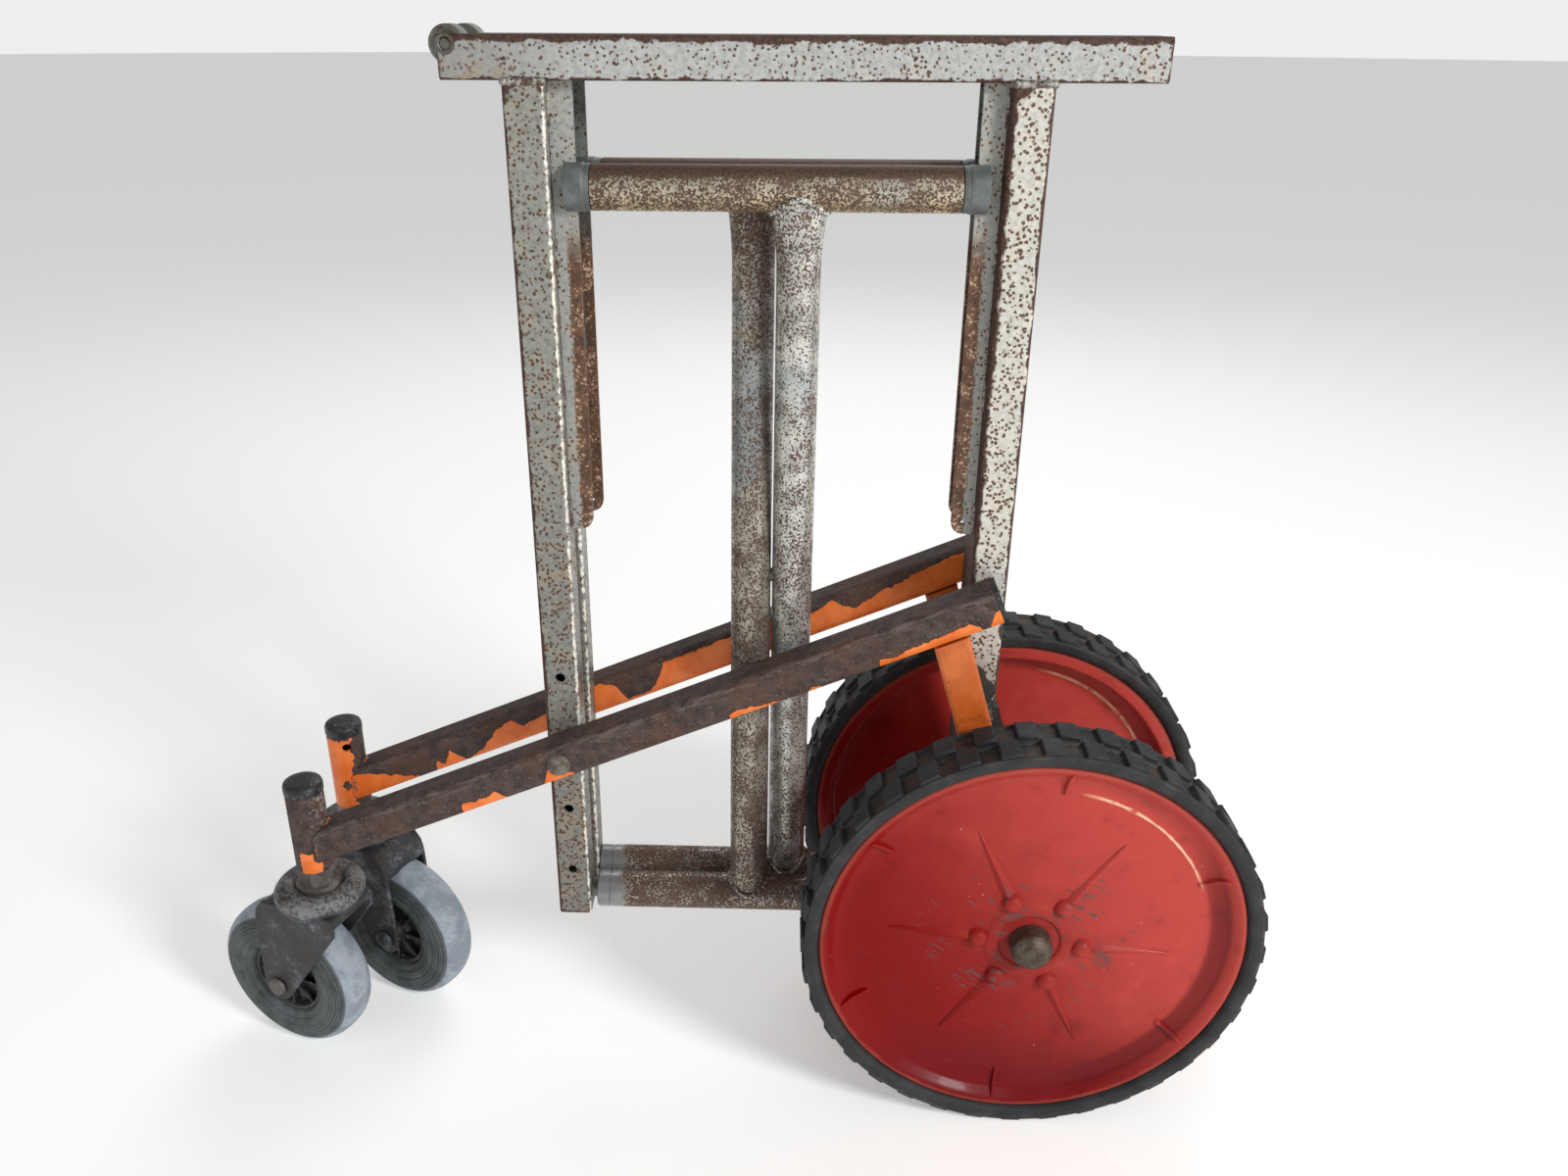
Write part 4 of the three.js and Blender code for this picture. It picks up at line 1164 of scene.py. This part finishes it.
def tyre_piece(side, material):
    """Carcass with two staggered rows of square lugs."""
    half = [
        (181.6, 21.6), (183.5, 25.2), (187, 26.9), (191.2, 27), (193.8, 26.4), (194.4, 25), (192, 23.9),
        (191.8, 4.2), (194.2, 3),
    ]
    outline = mirrored(half)
    parts = [turned(rounded(outline, 0.8, closed=True), 144)]
    for i in range(36):
        parts.append(swung(lug(), 10 * i, "Z"))
        parts.append(swung(swung(lug(), 180, "X"), 10 * i + 5, "Z"))
    bm = placed(joined(*parts), wheel_place(f"{side}_tyre", side))
    return piece(f"{side}_treaded_tyre", bm, f"{side}_wheel", material, [f"{side}_tyre"])


def stud(face_height):
    """Round stud with a ridge that tapers away outward along +X."""
    dome = turned(rounded([(0, 8.6), (4.5, 8.2), (7.6, 5.6), (9.8, -1), (0, -1)], 1.6), 28)
    moved(dome, x=45, z=face_height)
    ridge = bmesh.new()
    near = [ridge.verts.new(point) for point in ((46, -9, -1.5), (46, 0.5, 5.4), (46, 8, -1.5))]
    tip = ridge.verts.new((130, 2, -1.4))
    ridge.faces.new(near)
    for first, second in zip(near, near[1:] + near[:1]):
        ridge.faces.new((second, first, tip))
    bmesh.ops.recalc_face_normals(ridge, faces=ridge.faces)
    bmesh.ops.subdivide_edges(ridge, edges=ridge.edges[:], cuts=2, use_grid_fill=True)
    return joined(dome, moved(softened(ridge, 0.6, 2), z=face_height))


def rim_rib():
    """Short radial rib across the sloping wall inside the rim."""
    bm = plate([(147, 7.5), (150, 11.4), (165, 15.4), (174, 21), (174, 8)], 3.2)
    return softened(bm, 0.9, 2)


def disc_piece(side, material):
    """Pressed disc: dished face, raised hub, six studs with ridges and six rim ribs."""
    outline = [
        (10.5, -30), (29, -30), (30, -7), (150, -3.5), (164, -7), (169, -22), (181.3, -22), (181.3, 21.5),
        (178, 22.3), (174.5, 20), (168, 13), (159, 9.6), (150, 9), (60, 12.4), (40, 13.8), (37, 15.4),
        (30, 15.4),
        (27, 14.6), (25.6, 12.6), (10.5, 12.6),
    ]
    bm = turned(rounded(outline, 1.8, closed=True), 128)
    parts = [bm]
    for i in range(6):
        parts.append(swung(stud(12.2), 60 * i - 6, "Z"))
        parts.append(swung(rim_rib(), 60 * i + 24, "Z"))
    bm = placed(joined(*parts), wheel_place(f"{side}_tyre", side))
    return piece(
        f"{side}_pressed_disc", bm, f"{side}_wheel", material, [f"{side}_wheel_disc"],
    )


def hub_cap_piece(side, material):
    outline = [(0, 12), (18, 12), (18, 24), (17.4, 27.6), (15, 31), (11, 33.8), (6, 35.4), (0, 36)]
    bm = placed(turned(rounded(outline, 1.0), 48), wheel_place(f"{side}_tyre", side))
    return piece(f"{side}_axle_cap", bm, f"{side}_wheel", material, [f"{side}_hub_cap"])


# ---- Putting it together ----


def make_side(side, looks):
    dress_upright(side)
    frame_welds(side, looks["frame_weld"])
    roller_piece(side, looks["roller"])
    rivet_rings(side, looks["roller"])
    dress(looks["roller"], f"{side}_pivot_rod", f"{side}_wheel_axle", f"{side}_arm_nut")
    flakes, scuffed = (NEAR_ARM_FLAKES, 1.0) if side == "near" else (FAR_ARM_FLAKES, 0.4)
    dress(arm_finish(side, flakes, scuffed), f"{side}_arm")
    dress(strut_finish(side), f"{side}_wheel_strut")
    dress(looks["strip"], f"{side}_strut_strip")
    dress(looks["plastic"], f"{side}_arm_plug")
    sleeve_piece(side, near_sleeve_finish() if side == "near" else far_sleeve_finish())
    cap_piece(side, black_plastic(f"{side}_cap_plastic", highest(f"{side}_castor_sleeve").z + 2))
    bolt_piece(side, looks["bolt"])
    arm_welds(side, looks["arm_weld"])
    castor_stem_piece(side, looks["nut"])
    fork_piece(side, looks["fork"])
    axle_bolt_piece(side, looks["nut"] if side == "near" else looks["fork"])
    castor_tyre_piece(side, castor_tyre_finish(side))
    castor_core_piece(side, looks["plastic"])
    tyre_piece(side, tyre_finish(side))
    disc_piece(side, red_finish(side))
    hub_cap_piece(side, looks["cap"])


def shared_looks():
    return {
        "frame_weld": weld_finish("frame_weld_steel", "A3A29A", "5A4438"),
        "arm_weld": weld_finish("arm_weld_steel", "6B5A50", "C26A34"),
        "roller": dark_steel("roller_steel", "66665F", "97988F", "4C3B2F", 0.6),
        "strip": dark_steel("strip_steel", "3E413E", "8E948C", "3C372F", 0.4),
        "plastic": black_plastic("core_plastic"),
        "bolt": rusted_steel("bolt_steel", "7A756C", "5F5248"),
        "cap": rusted_steel("axle_cap_steel", "5A5148", "4A3A2E", "8E887C"),
        "nut": dark_steel("nut_steel", "6A6561", "A09C97", "4A3F38", 0.5),
        "fork": dark_steel("fork_steel", "3E4144", "74767A", "3F352D", 0.5, rubbed_above=181),
    }


def studio():
    """Pale floor, soft light from all round and a broad key from above right."""
    floor = bmesh.new()
    bmesh.ops.create_circle(floor, cap_ends=True, segments=96, radius=40)
    mesh = bpy.data.meshes.new("floor")
    floor.to_mesh(mesh)
    floor.free()
    f = Finish("floor_paper")
    glow = {"Emission_Color": paint("FFFFFF"), "Emission_Strength": 0.3}
    mesh.materials.append(f.made(paint("F2F2F0"), 0.9, **glow))
    ground = linked("floor", mesh)
    world = bpy.data.worlds.new("studio")
    bpy.context.scene.world = world
    world.use_nodes = True
    tree = world.node_tree
    sky = tree.nodes["Background"]
    sky.inputs["Color"].default_value = (1, 1, 1, 1)
    direction = tree.nodes.new("ShaderNodeTexCoord")
    parts = tree.nodes.new("ShaderNodeSeparateXYZ")
    level = tree.nodes.new("ShaderNodeMapRange")
    for end, value in (("From Min", 0.03), ("From Max", 0.3), ("To Min", 0.86), ("To Max", 0.33)):
        level.inputs[end].default_value = value
    tree.links.new(direction.outputs["Generated"], parts.inputs[0])
    tree.links.new(parts.outputs["Z"], level.inputs["Value"])
    tree.links.new(level.outputs[0], sky.inputs["Strength"])
    for name, place, size, watts in (
        ("key", (2.3, -2.1, 2.2), 0.9, 90),
        ("fill", (-2.2, -1.8, 1.4), 2.0, 6),
        ("back", (0.3, 2.4, 2.4), 2.0, 22),
    ):
        lamp = bpy.data.lights.new(name, "AREA")
        lamp.shape = "DISK"
        lamp.size = size
        lamp.energy = watts
        holder = linked(name, lamp)
        holder.location = place
        aim = Vector((0, 0, 0.4)) - Vector(place)
        holder.rotation_euler = aim.to_track_quat("-Z", "Y").to_euler()
    bpy.context.scene.view_settings.view_transform = "Standard"


def camera():
    """Eye a metre in front, a little above the rails, looking down."""
    yaw, dip, roll = (math.radians(angle) for angle in (-1.64, 24.71, 0.23))
    ahead = Vector((math.sin(yaw) * math.cos(dip), math.cos(yaw) * math.cos(dip), -math.sin(dip)))
    level = Vector((math.cos(yaw), -math.sin(yaw), 0))
    over = level.cross(ahead)
    right = level * math.cos(roll) + over * math.sin(roll)
    above = over * math.cos(roll) - level * math.sin(roll)
    lens = bpy.data.cameras.new("eye")
    lens.sensor_width = 36
    lens.lens = 28.835
    lens.shift_x = 0.0251
    lens.shift_y = 0.0055
    lens.clip_start = 0.05
    holder = linked("eye", lens)
    turn = Matrix((right, above, -ahead)).transposed().to_4x4()
    holder.matrix_world = Matrix.Translation((0.0593, -0.9841, 0.9181)) @ turn
    bpy.context.scene.camera = holder


camera()
studio()
looks = shared_looks()
for side in OUTWARD:
    make_side(side, looks)
make_tbars()
dress(looks["roller"], "tbar_pivot_pin")
